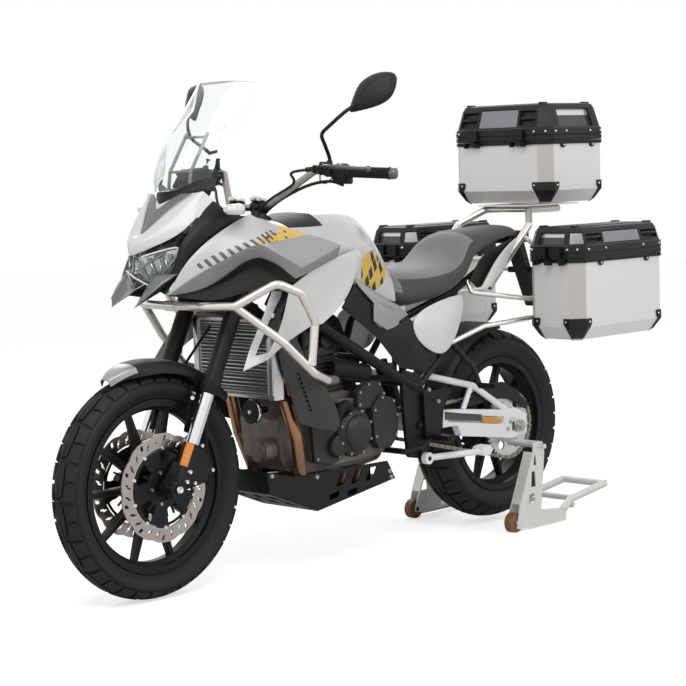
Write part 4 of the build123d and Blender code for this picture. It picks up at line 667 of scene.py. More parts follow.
def panel(name, corners, facets, colours, folds=(), sharp=(), thickness=2.6, levels=2, body="frame", replaces=(),
          outward=(0, 1, 0)):
    """A skin given on the left and mirrored. facets are (finish number, corner, corner, ...); folds are runs of
    corners with a crease along them; sharp corners stay pointed."""
    bm = bmesh.new()
    crease = bm.edges.layers.float.new("crease_edge")
    corner_crease = bm.verts.layers.float.new("crease_vert")
    points = [bm.verts.new(at(*corner)) for corner in corners]
    for number, *ring in facets:
        bm.faces.new([points[n] for n in ring]).material_index = number
    bmesh.ops.recalc_face_normals(bm, faces=bm.faces)
    lean = sum((face.normal * face.calc_area() for face in bm.faces), Vector())
    if lean.dot(Vector(outward)) < 0:
        bmesh.ops.reverse_faces(bm, faces=bm.faces)
    for run in folds:
        for first, second in zip(run, run[1:]):
            bm.edges.get((points[first], points[second]))[crease] = FOLD_CREASE
    for corner in sharp:
        points[corner][corner_crease] = 1.0
    mirror_across(bm)
    bmesh.ops.remove_doubles(bm, verts=bm.verts, dist=SEAM_GAP)
    piece = new_object(name, bm, colours)
    piece.data.shade_smooth()
    modify(piece, "curve", "SUBSURF", levels=levels, render_levels=levels, boundary_smooth="PRESERVE_CORNERS")
    modify(piece, "wall", "SOLIDIFY", thickness=thickness / 1000, offset=-1.0, use_even_offset=True)
    modify(piece, "rim", "BEVEL", width=0.0009, segments=2, limit_method="ANGLE", angle_limit=1.1)
    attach(piece, body)
    if replaces:
        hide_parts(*replaces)


def grid_facets(rows, columns, pick=lambda row, column: 0):
    facets = []
    for row in range(rows - 1):
        for column in range(columns - 1):
            corner = row * columns + column
            facets.append((pick(row, column), corner, corner + 1, corner + columns + 1, corner + columns))
    return facets


def plate(bm, outline, low, high, bevel=0.0015, inset=0.0, depth=0.0):
    """A flat plate seen from the side: (station, z) corners, from low to high across, its outer face inset."""
    face = bm.faces.new([bm.verts.new(at(station, low, z)) for station, z in outline])
    moved = extrude(bm, [face], (0, (high - low) / 1000, 0))
    faces = [face, *faces_of(moved)]
    bmesh.ops.recalc_face_normals(bm, faces=faces)
    outer = max((f for f in faces if len(f.verts) == len(outline)), key=lambda f: abs(f.calc_center_median().y))
    edges = edges_of(faces)
    if inset:
        bmesh.ops.inset_region(bm, faces=[outer], thickness=inset / 1000, depth=depth / 1000)
    soften(bm, edges, bevel)


add_finish("silver_paint", "mid_silver", (0.38, 0.39, 0.40), 0.32, 0.25, coat=0.4, speckle=0.02, depth=0.00005)
GUARD_ROWS = ((65, 22, 357), (70, 40, 365), (78, 58, 370), (90, 69, 371), (104, 72, 371), (120, 72, 371),
              (138, 68, 370))  # angle round the wheel, half width, radius
guard_points = []
for angle, half, radius in GUARD_ROWS:
    lip = 40 if angle > 75 else 24
    for share, drop in ((0.0, 0), (0.5, 1.5), (0.84, 9), (0.97, 24), (1.0, lip)):
        turned = math.radians(angle)
        guard_points.append((-(radius - drop) * math.cos(turned), half * share,
                             AXLE_RISE + (radius - drop) * math.sin(turned)))
panel("mudguard_shell", guard_points,
      grid_facets(len(GUARD_ROWS), 5, lambda row, column: 1 if row < 2 and column < 3 else 0),
      ["black_plastic", "mid_silver"], folds=[tuple(range(2, 35, 5)), tuple(range(3, 35, 5))], sharp=(4, 34),
      thickness=3.0, body="steering", outward=(0, 0, 1), replaces=["front_mudguard"])
brace = bmesh.new()
for side in (1, -1):
    outline = [(172, -2), (172, -38), (215, -46), (330, -70), (352, -30), (300, 22), (215, 4)]
    spots = [fork_at(along, ahead, 0) for along, ahead in outline]
    plate(brace, [((AXLES["front"].x - spot.x) * 1000, spot.z * 1000) for spot in spots], side * 70, side * 76,
          inset=5, depth=-1)
    barrel(brace, fork_at(190, -19, side * 74), fork_at(190, -19, side * 92), 0.009)
add_piece("mudguard_brace", brace, "steering", "black_metal", sharp=0.6)
studs("mudguard_bolts", [(fork_at(along, ahead, side * 76), (0, side, 0)) for side in (1, -1)
                         for along, ahead in ((335, -42), (286, 8), (215, -20))],
      0.0065, 0.004, "steering", "chrome")


# ---- Fairings, nose and cowls --------------------------------------------------------------------
# Painted injection-moulded panels about 3 mm thick with sharp crease lines, hung on the frame and head
# tube by hidden screws. The nose is white over the lamp, the fairings silver with darker lower facets.
def blob_mask(shader, centre, size, angle, ragged=0.0, scale=30.0):
    """1 inside a turned ellipse of half size `size`, seen from the side; ragged roughens its edge."""
    near = shader.node("ShaderNodeMapping", {"vector_type": "TEXTURE"}, {
        "Vector": shader.place, "Location": (centre[0], 0, centre[1]), "Rotation": (0, math.radians(angle), 0),
        "Scale": (size[0], 1.0e4, size[1])})
    reach = shader.node("ShaderNodeVectorMath", {"operation": "LENGTH"}, {0: near}, 1)
    return (reach + shader.noise(scale, 2.0) * ragged) < (1.0 + ragged / 2)


def banded_paint(name, base):
    """Pale paint with ragged yellow patches crossed by dark blocks, and rows of slanted grey stripes."""
    shader = Shader(name)

    def blobs(rows, ragged):
        masks = [blob_mask(shader, centre, size, angle, ragged) for centre, size, angle in rows]
        total = masks[0]
        for mask in masks[1:]:
            total = total.maths("MAXIMUM", total, mask)
        return total

    def slanted(lean, scales):
        return shader.node("ShaderNodeMapping", {}, {
            "Vector": shader.place, "Rotation": (0, math.radians(lean), 0), "Scale": (scales[0], 0.001, scales[1])})

    patches = blobs(base["patches"], base["ragged"])
    cells = shader.node("ShaderNodeTexVoronoi", {"feature": "F1", "distance": "CHEBYCHEV"}, {
        "Vector": slanted(base["lean"], base["blocks"]), "Scale": 1.0, "Randomness": 0.45})
    paint = shader.mix(patches, rgb(*base["colour"]), rgb(0.80, 0.52, 0.09))
    paint = shader.mix((cells < base["block_size"]) * patches, paint, rgb(0.015, 0.015, 0.016))
    if "stripes" in base:
        wave = shader.node("ShaderNodeTexWave", {}, {"Vector": slanted(-32, (1, 1)), "Scale": 14.0}, 1)
        paint = shader.mix((wave > 0.58) * blobs(base["stripes"], 0.0), paint, rgb(0.10, 0.10, 0.105))
    shader.fill(shader.surface, {"Base Color": paint, "Roughness": shader.noise(7.0) * 0.1 + 0.26, "Metallic": 0.0,
                                 "Coat Weight": 0.4, "Coat Roughness": 0.08})
    return shader.material


add_finish("silver_paint", "fairing_graphic", material=banded_paint("fairing_graphic", dict(
    patches=[((0.495, 1.026), (0.118, 0.018), 4.5), ((0.458, 1.054), (0.042, 0.013), 8)], ragged=0.45, lean=20,
    blocks=(40.0, 60.0), block_size=0.20, stripes=[((0.650, 1.002), (0.145, 0.017), 19)],
    colour=(0.62, 0.625, 0.635))))
add_finish("silver_paint", "dark_silver", (0.26, 0.265, 0.27), 0.32, 0.25, coat=0.4, speckle=0.02, depth=0.00005)
panel("side_fairing_skins", [
    (4, 112, 881), (43, 128, 954), (97, 146, 1013), (205, 160, 1073), (279, 168, 1099), (339, 176, 1071),
    (413, 188, 1052), (483, 200, 1031), (536, 208, 1017), (603, 214, 993), (64, 146, 928), (155, 188, 974),
    (220, 226, 1010), (253, 240, 1013), (319, 248, 980), (402, 250, 936), (127, 138, 885), (212, 178, 952),
    (247, 206, 976), (276, 224, 974), (329, 236, 946), (341, 240, 934), (382, 242, 906), (471, 236, 928),
    (580, 218, 957), (300, 120, 1092), (440, 120, 1072),
], [
    (0, 0, 1, 10), (0, 1, 2, 11, 10), (0, 2, 3, 12, 11), (0, 3, 4, 13, 12), (0, 4, 5, 13), (0, 5, 6, 7, 13),
    (1, 13, 7, 15, 14), (1, 7, 8, 15), (1, 8, 9, 15),
    (2, 0, 10, 16), (2, 10, 11, 17, 16), (2, 11, 12, 18, 17), (2, 12, 13, 19, 18), (2, 13, 14, 20, 19),
    (2, 14, 15, 21, 20), (2, 15, 22, 21), (2, 15, 23, 22), (2, 15, 9, 24, 23), (0, 4, 25, 26, 5), (0, 5, 26, 6),
], ["fairing_graphic", "mid_silver", "dark_silver"],
    folds=[(0, 10, 11, 12, 13, 14, 15, 9), (13, 7), (4, 5, 6, 7)], sharp=(0, 4, 9, 22, 24, 13, 15),
    replaces=["side_fairings"])
panel("fairing_insert_skins", [
    (7, 108, 880), (129, 136, 885), (215, 175, 952), (250, 203, 976), (278, 221, 974), (332, 233, 946),
    (344, 237, 934), (384, 239, 906), (381, 236, 894), (336, 216, 904), (283, 196, 889), (187, 168, 862),
    (142, 142, 857), (57, 118, 870), (157, 132, 892), (232, 150, 924), (284, 182, 955), (322, 205, 927),
    (342, 220, 906),
], [
    (0, 0, 1, 14, 13), (0, 1, 2, 15, 14), (0, 2, 3, 16, 15), (0, 3, 4, 16), (0, 4, 5, 17, 16), (0, 5, 6, 18, 17),
    (0, 6, 7, 8, 18), (0, 18, 8, 9), (0, 17, 18, 9, 10), (0, 16, 17, 10), (0, 15, 16, 10, 11), (0, 14, 15, 11, 12),
    (0, 13, 14, 12),
], ["black_plastic"], folds=[(14, 15, 16, 17, 18)], sharp=(0, 7, 8, 12, 13), replaces=["fairing_trims"])
panel("cockpit_side_trims", [
    (47, 112, 936), (54, 116, 953), (110, 132, 1012), (214, 150, 1072), (236, 150, 1088), (191, 140, 1128),
    (167, 131, 1144), (61, 108, 1029), (57, 100, 1004), (42, 86, 935), (6, 58, 897), (51, 110, 946),
    (61, 120, 1011), (127, 137, 1073), (201, 148, 1112), (4, 100, 884),
], [
    (0, 0, 1, 11), (0, 1, 2, 12, 11), (0, 2, 3, 13, 12), (0, 3, 4, 14, 13), (0, 4, 5, 14), (0, 14, 5, 6),
    (0, 13, 14, 6, 7), (0, 12, 13, 7), (0, 12, 7, 8), (0, 11, 12, 8, 9), (0, 0, 11, 9), (0, 0, 9, 10, 15),
], ["black_plastic"], folds=[(11, 12, 13, 14)], sharp=(0, 4, 6, 10, 15))
panel("nose_cowl_skin", [
    (-37, 0, 993), (-52, 0, 1040), (2, 0, 1046), (63, 0, 1114), (82, 0, 1136), (25, 14, 1064), (77, 50, 1126),
    (131, 92, 1165), (144, 120, 1170), (172, 133, 1143), (91, 125, 1082), (58, 105, 1047), (5, 55, 1017),
    (-22, 22, 1000), (110, 60, 1164), (95, 28, 1147), (-20, 40, 1045), (55, 88, 1096),
], [
    (0, 0, 1, 16, 13), (0, 1, 2, 5, 16), (0, 13, 16, 12), (0, 16, 17, 11, 12), (0, 5, 6, 17, 16), (0, 6, 7, 8, 17),
    (0, 17, 8, 9, 10), (0, 17, 10, 11), (1, 2, 3, 5), (1, 5, 3, 15, 6), (1, 6, 15, 14, 7), (0, 3, 4, 15),
], ["white_paint", "grey_paint"], folds=[(2, 5, 6, 7), (3, 15, 14), (0, 1)], sharp=(0, 2, 7, 8, 9, 4),
    outward=(1, 0, 1), replaces=["nose_cowl"])
panel("yellow_nose_lines", [
    (-3, 0, 1043), (1, 0, 1047), (20, 15, 1062), (24, 13, 1065), (70, 52, 1123), (76, 50, 1127), (124, 94, 1162),
    (131, 91, 1167),
], [(0, 0, 1, 3, 2), (0, 2, 3, 5, 4), (0, 4, 5, 7, 6)], ["silver_paint"], outward=(1, 0, 1), thickness=1.2)
panel("beak_prongs", [
    (-71, 50, 847), (-50, 76, 872), (-8, 98, 912), (44, 114, 940), (-3, 60, 939), (-5, 20, 892), (12, 96, 893),
    (10, 40, 884),
], [
    (0, 0, 1, 4, 5), (0, 1, 2, 4), (0, 2, 3, 4), (1, 0, 5, 7), (1, 0, 7, 6), (1, 0, 6, 2, 1), (1, 6, 3, 2),
], ["grey_paint", "black_plastic"], folds=[(0, 1, 2, 3), (0, 5), (1, 4)], sharp=(0, 1, 4, 5, 3), outward=(1, 0, 0),
    replaces=["beak"])


# ---- Tank, radiator cowls and side panels --------------------------------------------------------
# The steel tank has a painted cover with a black filler surround and yellow side bands printed with
# dark bars. White cowls fork round the radiator, and white and black panels close the frame under the
# seat.
add_finish("white_paint", "tank_band", material=banded_paint("tank_band", dict(
    patches=[((0.070, 0.903), (0.086, 0.062), 34)], ragged=0.25, lean=-28, blocks=(44.0, 21.0), block_size=0.36,
    colour=(0.66, 0.665, 0.67))))
add_finish("white_paint", "tank_silver", (0.72, 0.725, 0.735), 0.28, 0.1, coat=0.5, speckle=0.015, depth=0.00004)
tank_rows = [
    (480, (0, 1072), (60, 1070), (110, 1052), (140, 1015), (142, 960), (124, 930)),
    (560, (0, 1089), (80, 1084), (140, 1052), (170, 1000), (170, 940), (152, 900)),
    (600, (0, 1093), (84, 1088), (146, 1056), (174, 992), (172, 930), (156, 888)),
    (660, (0, 1096), (84, 1090), (144, 1060), (177, 992), (174, 920), (160, 880)),
    (740, (0, 1093), (80, 1083), (138, 1046), (171, 988), (170, 915), (160, 855)),
    (795, (0, 1085), (76, 1070), (130, 1030), (159, 968), (162, 895), (156, 830)),
    (845, (0, 1066), (70, 1042), (120, 995), (148, 932), (156, 872), (151, 815)),
    (882, (0, 1030), (66, 1004), (113, 952), (142, 900), (151, 850), (148, 803)),
    (908, (0, 962), (62, 945), (107, 905), (136, 868), (146, 832), (146, 798)),
]


def tank_finish(row, column):
    """Black round the filler, printed bands low on the sides behind the knees, silver elsewhere."""
    if row < 2 and column < 2:
        return 1
    return 2 if row >= 4 and column in (3, 4) else 0


panel("tank_cover", [(row[0], *point) for row in tank_rows for point in row[1:]],
      grid_facets(len(tank_rows), 6, tank_finish), ["tank_silver", "black_plastic", "tank_band"],
      folds=[(13, 19, 25, 31, 37, 43), (3, 9, 15, 21, 27, 33, 39), (12, 13, 14)], replaces=["fuel_tank"],
      thickness=3.0)
panel("tank_underside", [
    (482, 0, 932), (482, 122, 932), (560, 0, 905), (560, 150, 902), (740, 0, 858), (740, 158, 858), (906, 0, 800),
    (906, 144, 800),
], [(0, 0, 1, 3, 2), (0, 2, 3, 5, 4), (0, 4, 5, 7, 6)], ["black_plastic"], outward=(0, 0, -1), levels=1)

panel("radiator_cowl_skins", [
    (368, 232, 880), (470, 228, 930), (585, 214, 958), (700, 188, 976), (716, 190, 955), (683, 194, 902),
    (656, 196, 847), (592, 200, 795), (524, 204, 762), (473, 204, 758), (375, 206, 723), (298, 206, 677),
    (197, 205, 652), (300, 204, 696), (333, 206, 737), (356, 212, 790), (365, 222, 844), (411, 218, 805),
    (378, 210, 740), (546, 216, 913), (529, 208, 848), (508, 204, 801), (589, 208, 912), (571, 200, 845),
    (531, 203, 775), (252, 200, 692), (236, 192, 713), (305, 182, 797), (332, 178, 845), (350, 176, 872),
    (275, 190, 716), (352, 176, 813), (385, 174, 850), (402, 172, 868),
], [
    (0, 16, 0, 1, 19, 17), (0, 1, 2, 22, 19), (0, 2, 3, 4, 22), (0, 22, 4, 5, 6, 23), (0, 19, 22, 23, 20),
    (0, 17, 19, 20, 21), (0, 20, 23, 24, 21), (0, 23, 6, 7, 24), (0, 21, 24, 8, 9), (0, 24, 7, 8),
    (0, 15, 16, 17), (0, 14, 15, 17, 18), (0, 17, 21, 9, 10, 18), (0, 13, 14, 18, 10, 11), (0, 12, 25, 13, 11),
    (0, 12, 26, 30, 25), (0, 26, 27, 31, 30), (0, 27, 28, 32, 31), (0, 28, 29, 33, 32),
], ["white_paint"], folds=[(19, 20, 21), (22, 23, 24), (17, 18), (4, 22)],
    sharp=(0, 3, 4, 8, 9, 11, 12, 13, 25, 29, 33, 16), replaces=["radiator_cowls"])
panel("cowl_shadow_panels", [
    (255, 176, 700), (300, 178, 715), (372, 190, 790), (400, 200, 880), (400, 150, 890), (350, 150, 800),
], [(0, 0, 1, 2, 5), (0, 2, 3, 4, 5)], ["black_plastic"], levels=1)

panel("side_accent_panels", [
    (690, 182, 889), (696, 186, 866), (765, 188, 806), (766, 186, 750), (832, 180, 716), (949, 162, 755),
    (904, 160, 789), (842, 166, 812), (800, 194, 788), (845, 188, 752),
], [(0, 0, 1, 8, 7), (0, 1, 2, 8), (0, 2, 3, 9, 8), (0, 3, 4, 9), (0, 4, 5, 9), (0, 9, 5, 6, 7, 8)],
    ["mid_silver"], folds=[(8, 9)], sharp=(0, 3, 4, 5, 2))
panel("frame_cover_panels", [
    (640, 172, 800), (700, 178, 872), (780, 180, 797), (772, 180, 742), (846, 176, 706), (936, 168, 748),
    (968, 166, 734), (996, 168, 671), (1062, 158, 626), (1044, 156, 560), (905, 160, 590), (850, 168, 640),
    (789, 172, 700), (712, 170, 752), (940, 182, 690), (960, 178, 640),
], [
    (0, 0, 1, 2, 13), (0, 13, 2, 3, 12), (0, 12, 3, 4, 11), (0, 11, 4, 14, 15), (0, 4, 5, 6, 14), (0, 14, 6, 7, 15),
    (0, 15, 7, 8, 9), (0, 15, 9, 10, 11),
], ["black_plastic"], folds=[(14, 15)], sharp=(0, 1, 3, 8, 9, 7), replaces=["frame_covers"])
panel("oval_side_panels", [
    (953, 172, 713), (969, 171, 749), (1031, 170, 776), (1153, 164, 799), (1207, 160, 799), (1223, 160, 775),
    (1178, 172, 687), (1122, 174, 621), (1073, 172, 614), (989, 174, 656), (1010, 186, 715), (1070, 190, 700),
    (1150, 182, 745), (1095, 188, 660),
], [
    (0, 0, 1, 10), (0, 1, 2, 10), (0, 2, 3, 12, 11, 10), (0, 3, 4, 5, 12), (0, 12, 5, 6, 11), (0, 11, 6, 13),
    (0, 6, 7, 13), (0, 7, 8, 13), (0, 8, 9, 11, 13), (0, 9, 0, 10, 11),
], ["white_paint"], replaces=["side_panels"])


panel("tail_side_panels", [
    (1309, 164, 814), (1334, 164, 810), (1384, 166, 845), (1437, 166, 882), (1480, 164, 924), (1532, 158, 960),
    (1570, 150, 987), (1520, 154, 977), (1469, 160, 957), (1395, 166, 912), (1346, 166, 860),
], [(0, 0, 1, 2, 10), (0, 10, 2, 3, 9), (0, 9, 3, 4, 8), (0, 8, 4, 5, 7), (0, 7, 5, 6)], ["arm_white"],
    sharp=(0, 1, 6), levels=1, thickness=8.0)
panel("seat_side_covers", [
    (1279, 136, 839), (1304, 138, 878), (1339, 138, 920), (1410, 136, 941), (1501, 134, 970), (1497, 140, 953),
    (1421, 144, 904), (1341, 144, 818), (1312, 140, 813),
], [(0, 0, 1, 7, 8), (0, 1, 2, 6, 7), (0, 2, 3, 6), (0, 3, 4, 5, 6)], ["black_plastic"], levels=1)
panel("fairing_liners", [
    (64, 92, 1040), (110, 104, 1062), (190, 116, 1112), (342, 204, 1014), (110, 104, 1000), (50, 88, 1000),
    (76, 92, 1022), (150, 108, 1050), (334, 184, 1062),
], [(0, 0, 1, 6, 5), (0, 1, 2, 7), (0, 2, 8, 7), (0, 8, 3, 7), (0, 7, 3, 4), (0, 1, 7, 4, 6), (0, 6, 4, 5)],
    ["black_plastic"], levels=1)


# ---- Headlamp and windscreen ---------------------------------------------------------------------
# One faceted clear lens covers both lamps; behind it are a silver housing, dark slanted vanes and bright
# bowls. The tall screen is clear sheet bent into flats, screwed to a black lip and a tube bracket.
glass = Shader("clear_sheet")
glass.fill(glass.surface, {
    "Base Color": rgb(0.93, 0.95, 0.96), "Roughness": glass.noise(5.0) * 0.03 + 0.01, "Transmission Weight": 1.0,
    "IOR": 1.25, "Coat Weight": 0.3, "Coat Roughness": 0.03})
FINISHES["clear_plastic"] = glass.material
add_finish("chrome", "lamp_silver", (0.62, 0.62, 0.62), 0.30, 0.7, depth=0.00002, blotch=0.3)
add_finish("chrome", "mirror_bright", (0.86, 0.87, 0.88), 0.08, 1.0, depth=0.00001, blotch=0.05)
lens = [
    (-42, 0, 984), (-48, 0, 952), (-28, 12, 930), (12, 45, 900), (52, 76, 934), (62, 98, 1003), (54, 94, 1013),
    (24, 60, 1004), (-16, 28, 990), (-2, 46, 954),
]
lens_facets = [(0, 0, 1, 9, 8), (0, 1, 2, 3, 9), (0, 3, 4, 9), (0, 4, 5, 9), (0, 5, 6, 7, 9), (0, 7, 8, 9)]
panel("headlamp_lens", lens, lens_facets, ["clear_plastic"], folds=[(1, 9, 5), (3, 9), (8, 9)], thickness=2.0,
      sharp=(3, 5, 6, 4), outward=(1, 0, 0), levels=1, replaces=["headlamp"])
LAMP_Z = 956
panel("headlamp_housing", [(station + 34, y * 0.98, LAMP_Z + (z - LAMP_Z) * 0.96) for station, y, z in lens],
      lens_facets, ["lamp_silver"], outward=(1, 0, 0), levels=1)
lamp_rim = bmesh.new()
for side in (1, -1):
    for run in (lens[3:9], lens[1:4]):
        sweep(lamp_rim, [at(station - 2, side * y, z) for station, y, z in run], 0.0026, 8, 2)
add_piece("lamp_rims", lamp_rim, "frame", "arm_white")
vanes = [((-24, 8, 975), (-8, 36, 920), 9), ((0, 30, 985), (14, 54, 915), 9), ((26, 54, 990), (34, 70, 930), 8),
         ((42, 72, 995), (46, 82, 960), 7), ((-30, 4, 948), (30, 66, 1000), 6), ((8, 44, 912), (48, 88, 985), 6)]
for number, (top, foot, depth) in enumerate(vanes):
    panel(f"lamp_vane_{number}", [
        (top[0] + 4, top[1] - 4, top[2]), (top[0] + 8, top[1] + 5, top[2]), (foot[0] + 8, foot[1] + 5, foot[2]),
        (foot[0] + 4, foot[1] - 4, foot[2]), (top[0] + 8 + depth, top[1] + 3, top[2]),
        (foot[0] + 8 + depth, foot[1] + 3, foot[2]),
    ], [(0, 0, 1, 2, 3), (0, 1, 4, 5, 2)], ["dark_silver"], folds=[(1, 2)], thickness=1.2, levels=1,
        outward=(1, 0, 0))
LAMP_BOWL = ((0, 1.0), (-4, 0.98), (-12, 0.7), (-17, 0.3), (-18, 0.0))  # depth, and share of the radius
bowls = bmesh.new()
for station, y, z, radius in ((0, 26, LAMP_Z + 2, 17), (28, 58, LAMP_Z + 10, 15)):
    for side in (1, -1):
        lathe(bowls, [(reach / 1000, 0, radius * share / 1000) for reach, share in LAMP_BOWL], 24, (1, 0, 0),
              place=Matrix.Translation(at(station + 8, side * y, z)))
bowl_piece = add_piece("lamp_bowls", bowls, "frame", "mirror_bright")
modify(bowl_piece, "wall", "SOLIDIFY", thickness=0.0015)

screen_rows = [
    [(62, 0, 1168), (110, 52, 1176), (184, 106, 1206)], [(50, 0, 1208), (108, 56, 1222), (200, 112, 1240)],
    [(94, 0, 1262), (136, 62, 1274), (213, 113, 1290)], [(150, 0, 1332), (182, 66, 1334), (227, 121, 1324)],
    [(222, 0, 1412), (256, 74, 1410), (339, 135, 1407)], [(294, 0, 1486), (314, 76, 1486), (357, 127, 1480)],
]
panel("windscreen_sheet", [point for row in screen_rows for point in row], grid_facets(6, 3), ["clear_plastic"],
      folds=[(1, 4, 7, 10, 13, 16), (11, 10, 9)], sharp=(2, 5, 11, 14, 17), thickness=3.0,
      outward=(1, 0, 0.3), replaces=["windscreen"])
panel("screen_lip", [
    (90, 0, 1168), (128, 60, 1188), (192, 112, 1217), (79, 0, 1137), (104, 44, 1151), (150, 88, 1172),
    (184, 126, 1168), (196, 120, 1200), (110, 0, 1176), (150, 60, 1190),
], [(0, 0, 1, 4, 3), (0, 1, 2, 5, 4), (0, 2, 7, 6, 5), (0, 0, 8, 9, 1)], ["black_plastic"], folds=[(0, 1, 2)],
    sharp=(3, 6, 7), outward=(1, 0, 0))


# ---- Seat ----------------------------------------------------------------------------------------
# One stepped foam seat under a stitched cover: grey cloth on the rider's part and up the step, black
# leathercloth on the sides and the passenger's part. The two are sewn together along the edges.
def cloth(name, colour, scale, depth):
    shader = Shader(name)
    grain = shader.node("ShaderNodeTexVoronoi", {"feature": "F1"}, {"Vector": shader.place, "Scale": scale})
    worn = shader.noise(9.0, 4.0)
    shader.fill(shader.surface, {
        "Base Color": shader.mix(worn, rgb(*[c * 0.82 for c in colour]), rgb(*[c * 1.2 for c in colour])),
        "Roughness": worn * 0.18 + 0.50, "Sheen Weight": 0.25, "Sheen Roughness": 0.5,
        "Normal": shader.bump(grain, 0.5, depth)})
    return shader.material


FINISHES["seat_cover"] = cloth("seat_cover", (0.040, 0.040, 0.044), 420.0, 0.0004)
add_finish("seat_cover", "seat_insert", material=cloth("seat_insert", (0.215, 0.218, 0.228), 620.0, 0.0005))
seat_rows = [
    (910, (0, 888), (50, 888), (90, 876), (110, 838), (116, 802)),
    (950, (0, 897), (60, 896), (118, 869), (138, 818), (134, 768)),
    (1040, (0, 893), (70, 891), (138, 863), (151, 815), (146, 778)),
    (1130, (0, 892), (74, 889), (146, 865), (155, 828), (150, 790)),
    (1210, (0, 906), (76, 903), (148, 880), (155, 848), (150, 820)),
    (1258, (0, 940), (74, 934), (141, 908), (151, 880), (148, 858)),
    (1288, (0, 982), (72, 974), (127, 944), (143, 916), (142, 896)),
    (1318, (0, 1000), (70, 995), (118, 968), (137, 942), (138, 922)),
    (1400, (0, 1005), (70, 1001), (112, 986), (130, 968), (132, 952)),
    (1500, (0, 1010), (66, 1007), (100, 994), (118, 981), (120, 968)),
    (1566, (0, 1013), (56, 1010), (84, 1001), (98, 988), (100, 974)),
    (1588, (0, 1000), (50, 998), (74, 992), (86, 984), (88, 976)),
]
cushion = bmesh.new()
rings = []
for station, *points in seat_rows:
    half = [at(station, y, z) for y, z in points]
    ring = half + [at(station, 0, points[-1][1] - 2)]
    ring += [Vector((p.x, -p.y, p.z)) for p in reversed(half[1:])]
    made = [cushion.verts.new(p) for p in ring]
    rings.append([cushion.edges.new((made[n], made[(n + 1) % len(made)])) for n in range(len(made))])
    if station in (seat_rows[0][0], seat_rows[-1][0]):
        cushion.faces.new(made)
for first, second in zip(rings, rings[1:]):
    bmesh.ops.bridge_loops(cushion, edges=first + second)
bmesh.ops.recalc_face_normals(cushion, faces=cushion.faces)
STEP_END, INSERT_HALF = 1304, 0.118  # the grey cloth's back end and half width
for face in cushion.faces:
    middle = face.calc_center_median()
    on_top = face.normal.z > 0.25 and middle.x > at(STEP_END, 0, 0).x and abs(middle.y) < INSERT_HALF
    face.material_index = 1 if on_top else 0
seat_piece = new_object("seat_cushion", cushion, ["seat_cover", "seat_insert"])
seat_piece.data.shade_smooth()
modify(seat_piece, "crown", "SUBSURF", levels=3, render_levels=3)
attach(seat_piece, "frame")
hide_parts("seat")


# ---- Radiator, engine and exhaust ----------------------------------------------------------------
# The aluminium radiator has wavy brazed fins between end tanks and plastic side deflectors. The cast
# engine is dark, with domed die-cast covers, finned cylinders and stainless headers stained by heat.
FINS, FIN_STEPS = 37, 12
CORE_FOOT, CORE_TOP, CORE_HALF = 562, 774, 144
core = bmesh.new()
rows = []
for row in range(2 * FINS + 1):
    z = CORE_FOOT + (CORE_TOP - CORE_FOOT) * row / (2 * FINS)
    rows.append([core.verts.new(at(344.5 + (0 if row % 2 else 5.5), -CORE_HALF + 2 * CORE_HALF * step / FIN_STEPS, z))
                 for step in range(FIN_STEPS + 1)])
for lower, upper in zip(rows, rows[1:]):
    for step in range(FIN_STEPS):
        core.faces.new((lower[step], lower[step + 1], upper[step + 1], upper[step]))
add_finish("bare_aluminium", "fin_aluminium", (0.30, 0.29, 0.275), 0.42, 0.85, grain=60.0, depth=0.0005, speckle=0.2,
           brushed=(1.0, 26.0, 1.0))
core_piece = add_piece("radiator_core", core, "frame", "fin_aluminium", smooth=False)
modify(core_piece, "wall", "SOLIDIFY", thickness=0.0008, offset=0.0)
rails = bmesh.new()
for z, radius in ((555, 6.5), (781, 6.0)):
    barrel(rails, at(356, -172, z), at(356, 172, z), radius / 1000, 16)
for side in (1, -1):
    barrel(rails, at(350, side * 168, 792), at(350, side * 168, 806), 0.014)
    block(rails, Matrix.Translation(at(343, side * 162, 668)), (4, 22, 216), 0.0015)
add_piece("radiator_rails", rails, "frame", "bare_aluminium")

# The vents' finish is near-black and dull: painted shade for the openings of the deflectors' slots.
add_finish("black_plastic", "vent_black", (0.004, 0.004, 0.004), 0.7, shine=0.1)
add_finish("black_plastic", "guard_grey", (0.030, 0.029, 0.028), 0.5, depth=0.0002)
panel("radiator_deflectors", [
    (352, 188, 724), (367, 184, 642), (391, 182, 596), (419, 181, 525), (437, 180, 471), (520, 180, 442),
    (589, 180, 426), (609, 180, 443), (608, 182, 473), (573, 184, 539), (542, 185, 576), (496, 187, 612),
    (450, 190, 690), (402, 193, 764), (483, 186, 510), (565, 186, 494), (565, 182, 434),
], [
    (0, 0, 1, 12, 13), (0, 1, 2, 11, 12), (0, 2, 3, 14, 11), (0, 3, 4, 5, 14), (0, 14, 5, 16, 15),
    (0, 15, 16, 6, 7, 8), (0, 15, 8, 9), (0, 14, 15, 9, 10), (0, 11, 14, 10),
], ["guard_grey"], folds=[(14, 15), (15, 16), (2, 11)], sharp=(4, 6, 7, 0, 13), replaces=["radiator_guards"])
# The vents are thin plates laid on the deflectors, coloured as painted shade where the slots open.
VENTS = 9
vents = bmesh.new()
for n in range(VENTS):
    station, z = 434 + 47 * n / (VENTS - 1), 618 - 112 * n / (VENTS - 1)
    for side in (1, -1):
        plate(vents, [(station - 4, z + 5), (station + 3, z + 4), (station + 5, z - 4), (station - 2, z - 3)],
              side * (187.0 - n * 0.3), side * (189.0 - n * 0.3), 0.0004)
add_piece("deflector_vent_shade", vents, "frame", "vent_black")

add_finish("black_metal", "engine_case", (0.17, 0.155, 0.14), 0.48, 0.55, grain=26.0, depth=0.0010, speckle=0.30)
add_finish("black_metal", "engine_cover", (0.034, 0.034, 0.038), 0.40, 0.3, grain=260.0, depth=0.0002, shine=0.35)
nodes["crankcase"].data.materials[0] = FINISHES["engine_case"]


